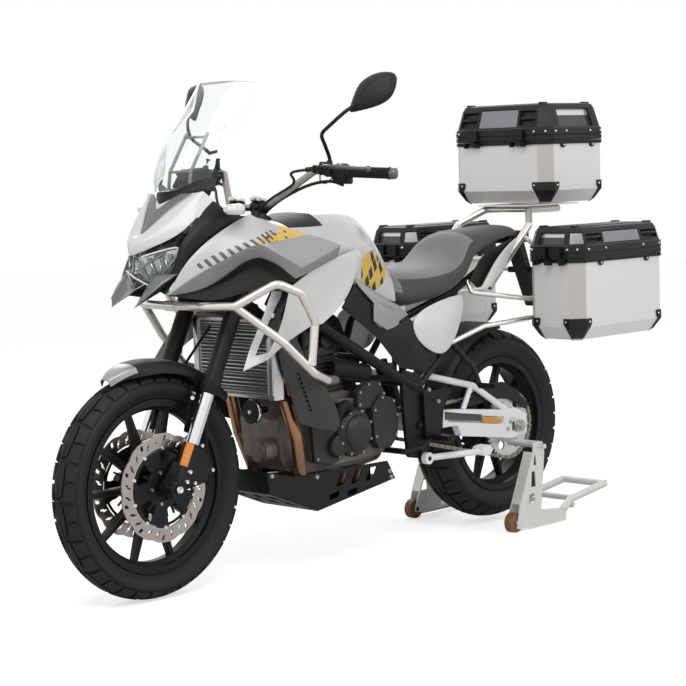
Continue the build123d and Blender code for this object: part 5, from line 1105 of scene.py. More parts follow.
def dome(bm, station, z, side, profile, steps=56):
    """A turned cover facing sideways: profile rows are radius and distance from the middle plane."""
    lathe(bm, [at(station + radius, side * y, z) for radius, y in profile], steps, (0, 1, 0), at(station, 0, z))


LEFT_COVER, RIGHT_COVER = (727, 405), (752, 412)  # the two large covers' station and height
covers, cover_bolts = bmesh.new(), []
dome(covers, *LEFT_COVER, 1, [(74, 106), (76, 112), (76, 122), (72, 131), (64, 137), (57, 140), (54, 148),
                              (48, 154), (34, 157.5), (12, 158.5), (0, 158.5)])
dome(covers, 655, 372, 1, [(36, 106), (36, 124), (32, 131), (20, 134), (0, 134)], 32)
dome(covers, *RIGHT_COVER, -1, [(94, 106), (94, 120), (88, 132), (76, 138), (70, 140), (66, 148), (58, 151),
                                (0, 152)])
dome(covers, 640, 385, -1, [(46, 106), (46, 122), (40, 130), (24, 131), (0, 131)], 32)
for outline, low, high, inset, depth in (
        ([(806, 372), (800, 470), (838, 512), (900, 494), (918, 440), (912, 372), (880, 340), (826, 342)], 106, 138,
         9, -2.5),
        ([(742, 478), (748, 528), (790, 556), (848, 552), (872, 512), (850, 484), (800, 470)], 100, 126, 8, -2),
        ([(560, 330), (548, 470), (600, 512), (690, 500), (660, 430), (680, 330), (640, 312)], 100, 118, 10, -3)):
    plate(covers, outline, low, high, 0.004, inset, depth)
for side, (station, z), radius, count in ((1, LEFT_COVER, 69, 8), (-1, RIGHT_COVER, 84, 10)):
    for n in range(count):
        angle = math.tau * (n + 0.5) / count
        cover_bolts.append((at(station + radius * math.cos(angle), side * 134, z + radius * math.sin(angle)),
                            (0, side, 0)))
for y, spots in ((138, ((812, 382), (808, 466), (842, 502), (894, 486), (910, 440), (902, 378))),
                 (126, ((752, 488), (756, 526), (794, 548), (842, 544), (862, 512))),
                 (118, ((570, 340), (560, 466), (604, 502), (676, 494), (664, 336)))):
    cover_bolts += [(at(station, y, z), (0, 1, 0)) for station, z in spots]
add_piece("engine_covers_cast", covers, "frame", "engine_cover", sharp=0.6, replaces=["engine_covers"])
studs("engine_bolts", cover_bolts, 0.0052, 0.0042, "frame", "steel")

FIN_COUNT = 10
CYLINDER_LEAN = Matrix.Rotation(math.radians(3.2), 4, "Y")
cylinders = bmesh.new()
for number in range(FIN_COUNT):
    share = (number + 0.5) / FIN_COUNT
    leaning = Matrix.Translation(at(608 - 20 * share, 0, 526 + 122 * share)) @ CYLINDER_LEAN
    block(cylinders, leaning, (216, 2 * (100 - 6 * abs(share - 0.5)), 5.2), 0.0016)
    block(cylinders, leaning @ Matrix.Translation((0, 0, 0.006)), (196, 180, 9), 0.001)
for station, z, size, bevel, inset, depth in ((578, 664, (212, 204, 30), 0.006, 6, 2),
                                              (572, 716, (196, 196, 78), 0.016, 22, 4)):
    block(cylinders, Matrix.Translation(at(station, 0, z)) @ CYLINDER_LEAN, size, bevel, inset, depth)
for side in (1, -1):
    barrel(cylinders, at(634, side * 98, 700), at(634, side * 110, 700), 0.024)
    barrel(cylinders, at(540, side * 98, 704), at(540, side * 108, 704), 0.018)
add_piece("finned_cylinders", cylinders, "frame", "engine_cover", sharp=0.7, replaces=["cylinders"])
hoses = bmesh.new()
for spots, radius, sides in (
        (((700, 132, 482), (678, 140, 496), (652, 138, 484), (640, 124, 440)), 0.017, 14),
        (((644, 112, 612), (700, 118, 604), (793, 122, 586)), 0.024, 18),
        (((410, 118, 560), (440, 128, 540), (500, 132, 520), (560, 120, 500)), 0.013, 12),
        (((372, -90, 800), (420, -80, 830), (500, -60, 800)), 0.015, 12)):
    sweep(hoses, [at(*spot) for spot in spots], radius, sides, 5)
add_piece("engine_hoses", hoses, "frame", "grip_rubber")
HORN_Y, HORN_Z = 34, 502
studs("horn_bolts", [(at(375.6, HORN_Y, HORN_Z), (1, 0, 0))], 0.0075, 0.005, "frame", "chrome")
horn_rim = bmesh.new()
HORN_FRONT, WIRE_SIDES = 384, 8
wire = []
for n in range(WIRE_SIDES):
    angle = math.tau * n / WIRE_SIDES
    wire.append(horn_rim.verts.new(at(HORN_FRONT + 5 * math.cos(angle), HORN_Y + 36 + 2.4 * math.sin(angle), HORN_Z)))
loop = [horn_rim.edges.new((wire[n], wire[(n + 1) % WIRE_SIDES])) for n in range(WIRE_SIDES)]
bmesh.ops.spin(horn_rim, geom=wire + loop, cent=at(HORN_FRONT, HORN_Y, HORN_Z), axis=(1, 0, 0), angle=math.tau,
               steps=40, use_merge=True)
add_piece("horn_rim", horn_rim, "frame", "chrome")


def heat_stained():
    """Stainless pipe: brown low down, bronze in the middle and dull by the ports."""
    shader = Shader("header_stained")
    height = shader.axis("Z")
    stain = shader.noise(11.0, 3.0)
    upper = shader.ramp(height + stain * 0.1, 0.30, 0.52)
    port = shader.ramp(height + stain * 0.1, 0.58, 0.74)
    fade = shader.mix(upper, rgb(0.22, 0.145, 0.10), rgb(0.44, 0.235, 0.135))
    fade = shader.mix(port, fade, rgb(0.16, 0.11, 0.09))
    fine = shader.noise(400.0, 3.0)
    shader.fill(shader.surface, {"Base Color": fade, "Metallic": 1.0, "Roughness": stain * 0.16 + 0.24,
                                 "Normal": shader.bump(fine, 0.3, 0.00008)})
    return shader.material


add_finish("header_steel", "header_stained", material=heat_stained())
nodes["exhaust_pipes"].data.materials[0] = FINISHES["header_stained"]
skid_bolts = [(at(station, side * 122, z), (0, side, 0)) for side in (1, -1)
              for station, z in ((372, 316), (560, 288), (884, 262), (890, 244))]
studs("skid_bolts", skid_bolts, 0.0080, 0.0045, "frame", "steel")


# ---- Swingarm, chain and stand -------------------------------------------------------------------
# The welded aluminium swingarm is painted white, with painted shade in its recess. A roller chain of steel side plates,
# bushes and pins runs round its sprockets; the bike rests on a folded, punched aluminium paddock stand.
# The recess plates are near-black: painted shade where the swingarm's white paint falls into its recess.
add_finish("white_paint", "recess_grey", (0.055, 0.055, 0.06), 0.4)
add_finish("clear_plastic", "yellow_lens", (0.72, 0.31, 0.02), 0.15, coat=0.5, depth=0.00005)
recesses, ambers = bmesh.new(), bmesh.new()
for side in (1, -1):
    plate(recesses, [(1133, 424), (1210, 410), (1316, 394), (1315, 372), (1133, 397)], side * 139, side * 141.2,
          0.0006, 3, -0.8)
    plate(ambers, [(1322, 385), (1415, 371), (1414, 352), (1321, 366)], side * 139, side * 141.4, 0.0006)
add_piece("swingarm_recess_shade", recesses, "frame", "recess_grey", sharp=0.6)
add_piece("swingarm_reflectors", ambers, "frame", "yellow_lens", sharp=0.6)

PITCH_RADIUS, DRIVE_RADIUS = 111.26, 38.18
REAR_STATION, REAR_RISE = 1505, 335.4
DRIVE_STATION, DRIVE_RISE = 905, 405
wheel_middle, drive_middle = at(REAR_STATION, 0, REAR_RISE), at(DRIVE_STATION, 0, DRIVE_RISE)
span = drive_middle - wheel_middle
reach, slope = span.length * 1000, math.atan2(span.z, span.x)
spread = math.acos((PITCH_RADIUS - DRIVE_RADIUS) / reach)
straight = math.sqrt(reach ** 2 - (PITCH_RADIUS - DRIVE_RADIUS) ** 2)
round_wheel, round_drive = PITCH_RADIUS * (math.tau - 2 * spread), DRIVE_RADIUS * 2 * spread
round_length = 2 * straight + round_wheel + round_drive


def on_sprocket(middle, radius, angle):
    """A point at a radius in millimetres and an angle up from ahead, round a sprocket's middle."""
    return middle + Vector((math.cos(angle), 0, math.sin(angle))) * radius / 1000


def chain_point(travel):
    """A point of the pitch line at a distance along the chain's round, in millimetres."""
    travel %= round_length
    if travel < straight:
        return on_sprocket(wheel_middle, PITCH_RADIUS, slope + spread).lerp(
            on_sprocket(drive_middle, DRIVE_RADIUS, slope + spread), travel / straight)
    travel -= straight
    if travel < round_drive:
        return on_sprocket(drive_middle, DRIVE_RADIUS, slope + spread - travel / DRIVE_RADIUS)
    travel -= round_drive
    if travel < straight:
        return on_sprocket(drive_middle, DRIVE_RADIUS, slope - spread).lerp(
            on_sprocket(wheel_middle, PITCH_RADIUS, slope - spread), travel / straight)
    travel -= straight
    return on_sprocket(wheel_middle, PITCH_RADIUS, slope - spread - travel / PITCH_RADIUS)


LINKS, CHAIN_Y = 106, 95
OUTER_Y, INNER_Y, LINK_THICK = 6.6, 4.6, 1.8
half_link = [(-13.2, -2.6), (-10.4, -6.0), (-5.4, -6.2), (0, -4.2), (5.4, -6.2), (10.4, -6.0), (13.2, -2.6)]
link_outline = half_link + [(u, -v) for u, v in reversed(half_link)]
links = bmesh.new()
for number in range(LINKS):
    spot = chain_point(round_length * number / LINKS)
    following = chain_point(round_length * (number + 1) / LINKS)
    middle, along = (spot + following) / 2, following - spot
    aim = Matrix.Rotation(-math.atan2(along.z, along.x), 3, "Y")
    for side in (1, -1):
        y = CHAIN_Y + side * (OUTER_Y if number % 2 else INNER_Y)
        across = Vector((0, (y - LINK_THICK / 2) / 1000, 0))
        corners = [links.verts.new(middle + aim @ Vector((u, 0, v)) / 1000 + across) for u, v in link_outline]
        extrude(links, [links.faces.new(corners)], (0, LINK_THICK / 1000, 0))
    for sides, radius, length in ((10, 0.0050, 0.0076), (8, 0.0026, 0.0185)):  # bush, then pin
        bmesh.ops.create_cone(
            links, cap_ends=True, segments=sides, radius1=radius, radius2=radius, depth=length,
            matrix=Matrix.Translation(spot + Vector((0, CHAIN_Y / 1000, 0))) @ Matrix.Rotation(math.pi / 2, 4, "X"))
add_finish("steel", "chain_steel", (0.34, 0.315, 0.27), 0.36, 1.0, grain=160.0, depth=0.0002, speckle=0.25, blotch=0.25)
add_piece("roller_chain", links, "frame", "chain_steel", smooth=False, replaces=["drive_chain"])
studs("sprocket_bolts", [(spot, (0, 1, 0)) for spot in around(AXLES["rear"], 33, 98, 5)],
      0.0065, 0.005, "rear_wheel", "steel")
arm_bolts = [(at(station, side * y, z), (0, side, 0)) for spots in
             (((1040, 404, 140), (1450, 330, 140), (1462, 352, 140)), ((1009, 512, 186), (1052, 470, 186)))
             for side in (1, -1) for station, z, y in spots]
studs("swingarm_bolts", arm_bolts, 0.0075, 0.005, "frame", "steel")

axle_trim = bmesh.new()
for side in (1, -1):
    barrel(axle_trim, *(at(REAR_STATION, side * y, REAR_RISE) for y in (140, 152)), 0.0165, 6, 0.001)
    plate(axle_trim, [(1488, 318), (1488, 352), (1534, 346), (1534, 312)], side * 139.5, side * 143, 0.001, 4, -0.8)
    for mark in range(7):
        station, z = 1462 + 4 * mark, 369 - 0.7 * mark
        plate(axle_trim, [(station, z), (station + 1.2, z), (station + 1.2, z - 9), (station, z - 9)],
              side * 139.5, side * 140.6, 0.0002)
add_piece("axle_adjusters", axle_trim, "frame", "steel", smooth=False)

STAND_AXLE, STAND_AXLE_RISE = REAR_STATION - 137, 33
stand_nuts = bmesh.new()
for side in (1, -1):
    for ends in ((238, 243), (208, 204)):
        barrel(stand_nuts, *(at(STAND_AXLE, side * y, STAND_AXLE_RISE) for y in ends), 0.0095, 6, 0.0008)
add_piece("stand_nuts", stand_nuts, "frame", "steel", smooth=False)


# ---- Handlebar controls, mirrors and display -----------------------------------------------------
# Rubber grips with moulded ribs, pressed levers with ball ends, plastic switch housings and black hoses.
# The mirrors are creased, pointed plastic shells on bent steel stems, with silvered glass inside.
grip_line = Vector((-0.278, 0.959, -0.0556)).normalized()


def grip_at(along, ahead, rise, side=1):
    """Along the left grip from its inner end, ahead of it and above it, in millimetres; mirrored for side -1."""
    spot = at(548, 308, 1211) + (grip_line * along + Vector((ahead, 0, rise))) / 1000
    return Vector((spot.x, side * spot.y, spot.z))


def on_grip(side, *spots):
    return [grip_at(*spot, side) for spot in spots]


GRIP_RIBS, GRIP_TOP = 20, 16.6
grip_profile = [(-4, 11.5), (-4, 18.5), (0, 19), (3, 17)]
for rib in range(GRIP_RIBS):
    along = 5 + rib * 6.2
    grip_profile += [(along, GRIP_TOP), (along + 1.4, 15.4), (along + 3.0, 15.4), (along + 4.4, GRIP_TOP)]
grip_profile += [(130, GRIP_TOP), (132, 18.4), (137, 18.4), (137, 12.0)]

grips, controls, metal = bmesh.new(), bmesh.new(), bmesh.new()
for side in (1, -1):
    aim = Vector((grip_line.x, side * grip_line.y, grip_line.z)).to_track_quat("Z", "Y").to_matrix().to_4x4()
    lathe(grips, [Vector((radius, 0, along)) / 1000 for along, radius in grip_profile], 22, (0, 0, 1),
          place=Matrix.Translation(grip_at(0, 0, 0, side)) @ aim)
    barrel(metal, *on_grip(side, (136, 0, 0), (156, 0, 0)), 0.0165, 24, 0.003)
    turned = Matrix.Rotation(math.radians(25), 4, "Z")
    block(controls, Matrix.Translation(grip_at(-27, 0, -3, side)) @ aim @ turned, (46, 46, 44), 0.009, 6, 1.5)
    block(controls, Matrix.Translation(grip_at(-12, -4, -24, side)) @ aim, (20, 24, 36), 0.004, 5, 1)
    for step in (-12, 0, 12):
        block(controls, Matrix.Translation(grip_at(-27 + step, -24, 4, side)) @ aim, (9, 9, 8), 0.002, 1.5, 1)
    for start, end, radius, sides, bevel in (((-76, 0, 0), (-48, 0, 0), 0.0175, 20, 0.003),
                                             ((-64, 6, 3), (-64, 66, 8), 0.012, 16, 0.003),
                                             ((-64, 66, 8), (-68, 92, 6), 0.0075, 14, 0.002)):
        barrel(controls, *on_grip(side, start, end), radius, sides, bevel)
    block(controls, Matrix.Translation(grip_at(-52, 34, 9, side)) @ aim, (20, 40, 34), 0.006, 5, 1)
    sweep(metal, on_grip(side, (-52, 44, 14), (-20, 62, 17), (26, 70, 17), (74, 66, 15), (112, 62, 14)),
          0.0070, 10, 5, 0.0048)
    bmesh.ops.create_uvsphere(metal, u_segments=14, v_segments=10, radius=0.0092,
                              matrix=Matrix.Translation(grip_at(113, 62, 14, side)))
    studs(f"perch_bolts_{'left' if side > 0 else 'right'}",
          [(spot, (0, 0, 1)) for spot in on_grip(side, (-64, 30, 18), (-52, 40, 23), (-27, 0, 21))],
          0.0045, 0.0025, "steering", "steel")
    for at_grip, below, radius in (
            (((-68, 90, 6), (-96, 118, -4)), ((448, 176, 1180), (404, 110, 1130), (392, 66, 1075), (398, 44, 1000)),
             0.0042),
            (((-20, -2, -40), (-64, 2, -30)), ((500, 178, 1172), (452, 104, 1128), (424, 60, 1078), (412, 40, 1010)),
             0.0048)):
        sweep(controls, on_grip(side, *at_grip) + [at(station, side * y, z) for station, y, z in below], radius, 8, 6)
    sweep(controls, on_grip(side, (-46, 8, -16), (-64, 12, -34), (-88, 8, -32), (-94, 2, -8)), 0.0022, 6, 6)
for low, high, radius in ((10, 40, 0.021), (40, 46, 0.0225)):
    barrel(controls, *on_grip(-1, (-96, 34, low), (-96, 34, high)), radius, 24, 0.002)
sweep(controls, on_grip(-1, (-96, 34, 20), (-82, 24, 12), (-64, 18, 6)), 0.007, 8, 4)
add_piece("ribbed_grips", grips, "steering", "grip_rubber", sharp=0.5)
add_piece("switches_and_perches", controls, "steering", "black_plastic", sharp=0.6, replaces=["hand_controls"])
add_finish("black_metal", "lever_alloy", (0.16, 0.16, 0.165), 0.30, 0.8, depth=0.00005)
add_piece("levers_and_bar_ends", metal, "steering", "lever_alloy", sharp=0.5)

CLAMP_X, CLAMP_Y = 0.4363, 0.048
clamp_blocks = bmesh.new()
for side in (1, -1):
    block(clamp_blocks, Matrix.Translation((CLAMP_X, side * CLAMP_Y, 1.1346)) @ Matrix.Rotation(-0.25, 4, "Y"),
          (48, 32, 14), 0.004, 5, 1)
add_piece("bar_clamp_caps", clamp_blocks, "steering", "bare_aluminium", sharp=0.6)
studs("bar_clamp_bolts", [(Vector((CLAMP_X + ahead, side * CLAMP_Y, 1.1415 + ahead * 0.25)), (-0.25, 0, 1))
                          for side in (1, -1) for ahead in (0.016, -0.016)],
      0.005, 0.004, "steering", "steel")

wide, facing_rider = Vector((-0.55, 0.6, 0.58)).normalized(), Vector((-0.83, -0.38, -0.39)).normalized()
wide = (wide - facing_rider * wide.dot(facing_rider)).normalized()
tall = facing_rider.cross(wide).normalized()
leaf = [(-104, -6), (-84, 4), (-58, 19), (-16, 38), (21, 42), (48, 26), (72, 2), (75, -18), (58, -38), (27, -58),
        (-22, -64), (-55, -44), (-80, -24)]
head_middle = at(577, 405, 1438)


def on_mirror(bm, u, v, depth):
    """A vertex in the mirror's own directions; depth is towards the glass, in millimetres."""
    return bm.verts.new(head_middle + (wide * u + tall * v + facing_rider * depth) / 1000)


def leaf_loop(bm, scale, depth):
    """The mirror's outline shrunk towards its middle."""
    return [on_mirror(bm, u * scale - 4 * (1 - scale), v * scale - 12 * (1 - scale), depth) for u, v in leaf]


mirror_shell, mirror_glass, stems = bmesh.new(), bmesh.new(), bmesh.new()
loops = [leaf_loop(mirror_shell, scale, depth) for scale, depth in
         ((0.90, 4), (0.94, 8), (1.0, 7), (1.0, 1), (0.97, -5), (0.84, -13))]
join_rings(mirror_shell, loops)
crest = [on_mirror(mirror_shell, *spot) for spot in ((-62, -12, -20), (-20, -22, -28), (24, -22, -27), (54, -17, -20))]
# Faces of the back: two neighbours on the last loop, and the crest corners they run up to.
BACK_PEAKS = ((0,), (0,), (1, 0), (2, 1), (3, 2), (3,), (3,), (3,), (2, 3), (1, 2), (0, 1), (0,), (0,))
for start, peaks in enumerate(BACK_PEAKS):
    mirror_shell.faces.new([loops[-1][start], loops[-1][(start + 1) % len(leaf)], *(crest[peak] for peak in peaks)])
mirror_shell.faces.new(loops[0])
mirror_glass.faces.new(leaf_loop(mirror_glass, 0.89, 4.6))
sweep(stems, [at(*spot) for spot in ((531, 248, 1222), (531, 248, 1252), (500, 262, 1290), (466, 284, 1322),
                                     (474, 312, 1348), (497, 346, 1382), (520, 366, 1402))], 0.0056, 12, 6)
barrel(stems, at(531, 248, 1224), at(531, 248, 1246), 0.009, 6, 0.001)
crest_spots = [vertex.co.copy() for vertex in crest]
for bm in (mirror_shell, mirror_glass, stems):
    bmesh.ops.recalc_face_normals(bm, faces=bm.faces)
    mirror_across(bm)
creases = mirror_shell.edges.layers.float.new("crease_edge")
for edge in mirror_shell.edges:
    if all(any((Vector((v.co.x, abs(v.co.y), v.co.z)) - spot).length < 1e-5 for spot in crest_spots)
           for v in edge.verts):
        edge[creases] = FOLD_CREASE
shell_piece = add_piece("mirror_shells", mirror_shell, "steering", "black_plastic", replaces=["mirrors"], sharp=1.4)
modify(shell_piece, "curve", "SUBSURF", levels=2, render_levels=2)
glass_piece = add_piece("mirror_glass", mirror_glass, "steering", "mirror_silver")
modify(glass_piece, "wall", "SOLIDIFY", thickness=0.002)
add_piece("mirror_stems", stems, "steering", "black_metal")

dash = bmesh.new()
dash_place = Matrix.Translation(at(216, 0, 1188)) @ Matrix.Rotation(math.radians(-125), 4, "Y")
block(dash, dash_place, (98, 160, 30), 0.010, 9, -3)
add_piece("dash_housing", dash, "frame", "black_plastic", sharp=0.7)
add_finish("black_plastic", "dash_glass", (0.02, 0.024, 0.03), 0.08, coat=0.8, depth=0.00002)
face_plate = bmesh.new()
block(face_plate, dash_place @ Matrix.Translation((0, 0, 0.0150)), (76, 138, 3), 0.0008)
add_piece("dash_glass", face_plate, "frame", "dash_glass", sharp=0.7)


# ---- Top case and panniers -----------------------------------------------------------------------
# Three cases of anodised aluminium sheet, folded and riveted, with moulded trapezoid caps over the lower
# corners. Each lid is a black moulded frame with grey sheet let into it, hinged along its front edge.
# Front, back, middle across, half width, foot, height of the shell and height of the lid, in millimetres.
CASES = {
    "top_case": (1599.0, 1932.0, 0.0, 211.0, 1080.0, 210.0, 127.0),
    "pannier_left": (1424.0, 1906.0, 360.0, 110.0, 641.0, 264.0, 104.0),
    "pannier_right": (1424.0, 1906.0, -360.0, 110.0, 641.0, 264.0, 104.0),
}
CHAMFER, LID_CHAMFER = 38, 42.2  # the corners' reach along each side
CUT_PER_INSET = 0.6  # what a corner's reach loses for each millimetre that the outline draws in
FOOT_SLOPE, FOOT_INSET = 42, 31.5  # the shell draws in over this height at its foot, by this much
LID_OVERHANG = 7
LID_BAND, LID_CORNER = 42, 42  # height of the lid's upright band, and what its corners take from each side
SLOPE_FOOT, ROOF_EDGE = 45, 18  # where the lid's slope begins, above its foot, and ends, below its top
DRAW_IN = 0.3  # what the slope draws in for each millimetre of its height
add_finish("case_shell", "lid_panel", (0.27, 0.275, 0.29), 0.36, 0.5, grain=700.0, depth=0.00005, blotch=0.05)
# Two copies of the case sheet for the rolled ends: the dark one is painted shade low in the roll, the bright one a
# painted highlight near its top.
add_finish("case_shell", "roll_painted_shade", (0.09, 0.09, 0.095), 0.34, 0.75, brushed=(0.5, 0.5, 14.0), depth=0.00004)
add_finish("case_shell", "roll_painted_highlight", (0.72, 0.72, 0.73), 0.30, 0.75, brushed=(0.5, 0.5, 14.0), depth=0.00004)
add_finish("black_plastic", "lid_black", (0.010, 0.010, 0.011), 0.38, grain=500.0, depth=0.00008, shine=0.3)


class Case:
    """One case, with its sizes and the places on it."""

    def __init__(self, label, front, back, middle, half_width, base, height, lid):
        self.label, self.height, self.lid = label, height, lid
        self.half_length, self.half_width = (back - front) / 2, half_width
        self.centre = at((front + back) / 2, middle, base)
        self.hinge = at(front - LID_OVERHANG, middle, base + height)
        self.lid_length, self.lid_width = self.half_length + LID_OVERHANG, half_width + LID_OVERHANG
        self.wide = self.lid_width > self.lid_length
        self.slope = lid - LID_BAND

    def spot(self, x, y, rise):
        """Millimetres ahead of the case's middle, left of it and above its foot."""
        return self.centre + Vector((x, y, rise)) / 1000

    def outline(self, rise, out):
        """Half length, half width and chamfer at a height, for a surface that far outside the shell."""
        inset = FOOT_INSET * max(0.0, 1 - rise / FOOT_SLOPE) - out
        return self.half_length - inset, self.half_width - inset, CHAMFER - CUT_PER_INSET * inset

    def ring(self, bm, half_length, half_width, cut, rise, splits=((), ())):
        """An eight-sided outline at one height, with extra points along its ends and its sides."""
        corners = [(half_length, cut - half_width), (half_length, half_width - cut), (half_length - cut, half_width),
                   (cut - half_length, half_width), (-half_length, half_width - cut), (-half_length, cut - half_width),
                   (cut - half_length, -half_width), (half_length - cut, -half_width)]
        ring = []
        for number, corner in enumerate(corners):
            following = Vector(corners[(number + 1) % 8])
            for step in (0.0,) if number % 2 else (0.0, *splits[(number // 2) % 2]):
                spot = Vector(corner).lerp(following, step)
                ring.append(bm.verts.new(self.spot(spot.x, spot.y, rise)))
        return ring


def climb(edge):
    """The difference in height between an edge's two ends."""
    return abs((edge.verts[0].co - edge.verts[1].co).z)


def lid_shell(case):
    """The moulded frame under its slope, with sheet panels, rolled ends with painted shade and a painted highlight, and
    hand recesses let into it.
    """
    bm = bmesh.new()
    roof = case.slope * DRAW_IN
    # Heights above the lid's foot, and how far the outline draws in at each.
    rows = [(0.8, 2.5), (2.5, 0.6), (15, 0.6), (16.5, 2.6), (19, 2.6), (20.5, 0.0), (40, 1.0), (43, 4.5),
            (SLOPE_FOOT, 7.0), (case.lid - ROOF_EDGE, roof), (case.lid - 5, roof + 9), (case.lid - 3, roof + 18)]
    splits = ((0.25, 0.75), (0.13, 0.87)) if case.wide else ((0.13, 0.87), (0.25, 0.75))
    rings = [case.ring(bm, case.lid_length - inset, case.lid_width - inset, LID_CHAMFER - CUT_PER_INSET * inset,
                       case.height + up, splits) for up, inset in rows]
    slope = join_rings(bm, rings)[rows.index((SLOPE_FOOT, 7.0))]
    top = bm.faces.new(rings[-1])
    bm.faces.new(rings[0][::-1])
    panels, recesses, rolls = [], [], []
    for number, face in enumerate(slope):
        side, spot = divmod(number, 4)
        on_long_side = (side % 2 == 0) == case.wide
        if spot == 3:
            if not case.wide:
                panels.append(face)
        elif on_long_side:
            (panels if spot == 1 else recesses).append(face)
        elif spot == 1:
            rolls.append(face)
    sink(bm, panels, (0.006, 0.0), (0.0015, -0.0022), (0.0035, 0.0012))
    for face in panels:
        face.material_index = 1
    sink(bm, rolls, (0.002, 0.0), (0.0012, -0.011))
    uprights = [edge for face in rolls for edge in face.edges if climb(edge) > 0.008]
    strips = bmesh.ops.subdivide_edges(bm, edges=uprights, cuts=2, use_grid_fill=True)["geom_inner"]
    # The rolls' strips are painted: shade below about two thirds of their height, a highlight above.
    roll_height = case.lid - SLOPE_FOOT - ROOF_EDGE
    highlight_from = case.centre.z + (case.height + SLOPE_FOOT + 0.65 * roll_height) / 1000
    for strip in strips:
        if isinstance(strip, bmesh.types.BMEdge):
            for face in strip.link_faces:
                face.material_index = 2 if face.calc_center_median().z < highlight_from else 3
    sink(bm, recesses, (0.011, 0.0015), (0.004, -0.012))
    sink(bm, [top], (0.022, 0.0), (0.002, 0.0025))
    piece = add_piece(f"{case.label}_lid_shell", bm, f"{case.label}_lid_body",
                      ["lid_black", "lid_panel", "roll_painted_shade", "roll_painted_highlight"], replaces=[f"{case.label}_lid"])
    modify(piece, "edges", "BEVEL", width=0.0012, segments=2, limit_method="ANGLE", angle_limit=0.35)


def lid_bolts(case):
    """Bolts round the lid's upright band."""
    def bolt(sign_x, sign_y, share):
        """share runs along the face that the signs pick."""
        if sign_x and sign_y:
            x, y = sign_x * (case.lid_length - LID_CORNER / 2), sign_y * (case.lid_width - LID_CORNER / 2)
        elif sign_x:
            x, y = sign_x * case.lid_length, share * (case.lid_width - LID_CORNER)
        else:
            x, y = share * (case.lid_length - LID_CORNER), sign_y * case.lid_width
        return case.spot(x, y, case.height + 31), Vector((sign_x, sign_y, 0)).normalized()

    bolts = [bolt(x, y, share) for x, y in ((1, 0), (-1, 0), (0, 1), (0, -1)) for share in (-0.94, 0.94)]
    bolts += [bolt(0, y, share) for y in (1, -1) for share in (-0.5, 0.5)]
    bolts += [bolt(x, y, 0) for x in (1, -1) for y in (1, -1)]
    studs(f"{case.label}_lid_bolts", bolts, 0.0042, 0.003, f"{case.label}_lid_body", "chrome")


def lid_handles(case):
    """A carrying bar in each hand recess, and four feet on top for a strap."""
    bm = bmesh.new()
    long_half = max(case.lid_length, case.lid_width) - LID_CORNER
    out = min(case.lid_length, case.lid_width) - 7 - case.slope * 0.16
    for across in (1, -1):
        for along in (1, -1):
            x, y = along * long_half * 0.75, across * out
            grip = bmesh.ops.create_cone(
                bm, cap_ends=True, segments=12, radius1=0.0062, radius2=0.0062, depth=long_half * 0.00042,
                matrix=Matrix.Translation(case.spot(*((y, x) if case.wide else (x, y)),
                                                    case.height + SLOPE_FOOT + case.slope * 0.36))
                @ Matrix.Rotation(math.pi / 2, 4, "X" if case.wide else "Y"))
            soften(bm, rims_of(grip), 0.004, 3)
    for x in (1, -1):
        for y in (1, -1):
            in_from_edge = case.slope * DRAW_IN + 34
            foot = bmesh.ops.create_cube(bm, size=1.0, matrix=Matrix.Translation(case.spot(
                x * (case.lid_length - in_from_edge), y * (case.lid_width - in_from_edge),
                case.height + case.lid - 4)) @ Matrix.Diagonal((0.034, 0.014, 0.010, 1)))
            faces = faces_of(foot["verts"])
            sink(bm, [max(faces, key=lambda face: face.calc_center_median().z)], (0.003, 0.002))
            soften(bm, edges_of(faces), 0.0012)
    add_piece(f"{case.label}_lid_handles", bm, f"{case.label}_lid_body", "lid_black")


def hinge_blocks(case):
    """Ribbed covers over the two lid hinges: a block on the lid between two cheeks on the case."""
    apart = 101 if case.half_width > 150 else 29
    # Heights from the lid's foot, reach ahead, width, and the places across from each hinge's middle.
    for part, body, low, high, out, wide, asides in (("lid", f"{case.label}_lid_body", 2, 40, 12, 40, (0,)),
                                                     ("case", "frame", -20, -1.5, 21, 7, (-24.5, 24.5))):
        bm = bmesh.new()
        for y in [side * apart + aside for side in (1, -1) for aside in asides]:
            middle = case.hinge + Vector((out / 2 - 1, y, (low + high) / 2)) / 1000
            made = bmesh.ops.create_cube(bm, size=1.0, matrix=Matrix.Translation(middle)
                                         @ Matrix.Diagonal((out / 1000, wide / 1000, (high - low) / 1000, 1)))
            outer = max(faces_of(made["verts"]), key=lambda face: face.calc_center_median().x)
            bars = bmesh.ops.subdivide_edges(bm, edges=[edge for edge in outer.edges if climb(edge) < 1e-6], cuts=3,
                                             use_grid_fill=True)
            strips = dict.fromkeys(face for edge in bars["geom"] if isinstance(edge, bmesh.types.BMEdge)
                                   for face in edge.link_faces if face.normal.x > 0.9)
            sink(bm, list(strips), (0.0022, -0.0018))
        add_piece(f"{case.label}_{part}_hinge_covers", bm, body, "lid_black", smooth=False)


def case_rim(case):
    """The rim under the lid, with its bolted lugs."""
    bm = bmesh.new()
    # The rim's section: heights from the shell's top, and distances outside the shell.
    join_rings(bm, [case.ring(bm, *case.outline(100, out), case.height + up) for up, out in
                    ((-13, 1.0), (-12, 5.5), (-2, 6.5), (-0.5, 5.0), (-0.5, 1.0), (-13, 1.0))])
    lug_bolts = []
    for side in (1, -1):
        for share in (-0.62, 0.62):
            spot = case.spot(share * (case.half_length - CHAMFER), side * (case.half_width + 3.5), case.height - 13)
            bmesh.ops.create_cone(bm, cap_ends=True, segments=20, radius1=0.0125, radius2=0.0115, depth=0.006,
                                  matrix=Matrix.Translation(spot) @ facing(side))
            lug_bolts.append((spot + Vector((0, side * 0.003, -0.003)), (0, side, 0)))
    add_piece(f"{case.label}_rim", bm, "frame", "lid_black", smooth=False)
    studs(f"{case.label}_lug_bolts", lug_bolts, 0.0040, 0.003, "frame", "chrome")


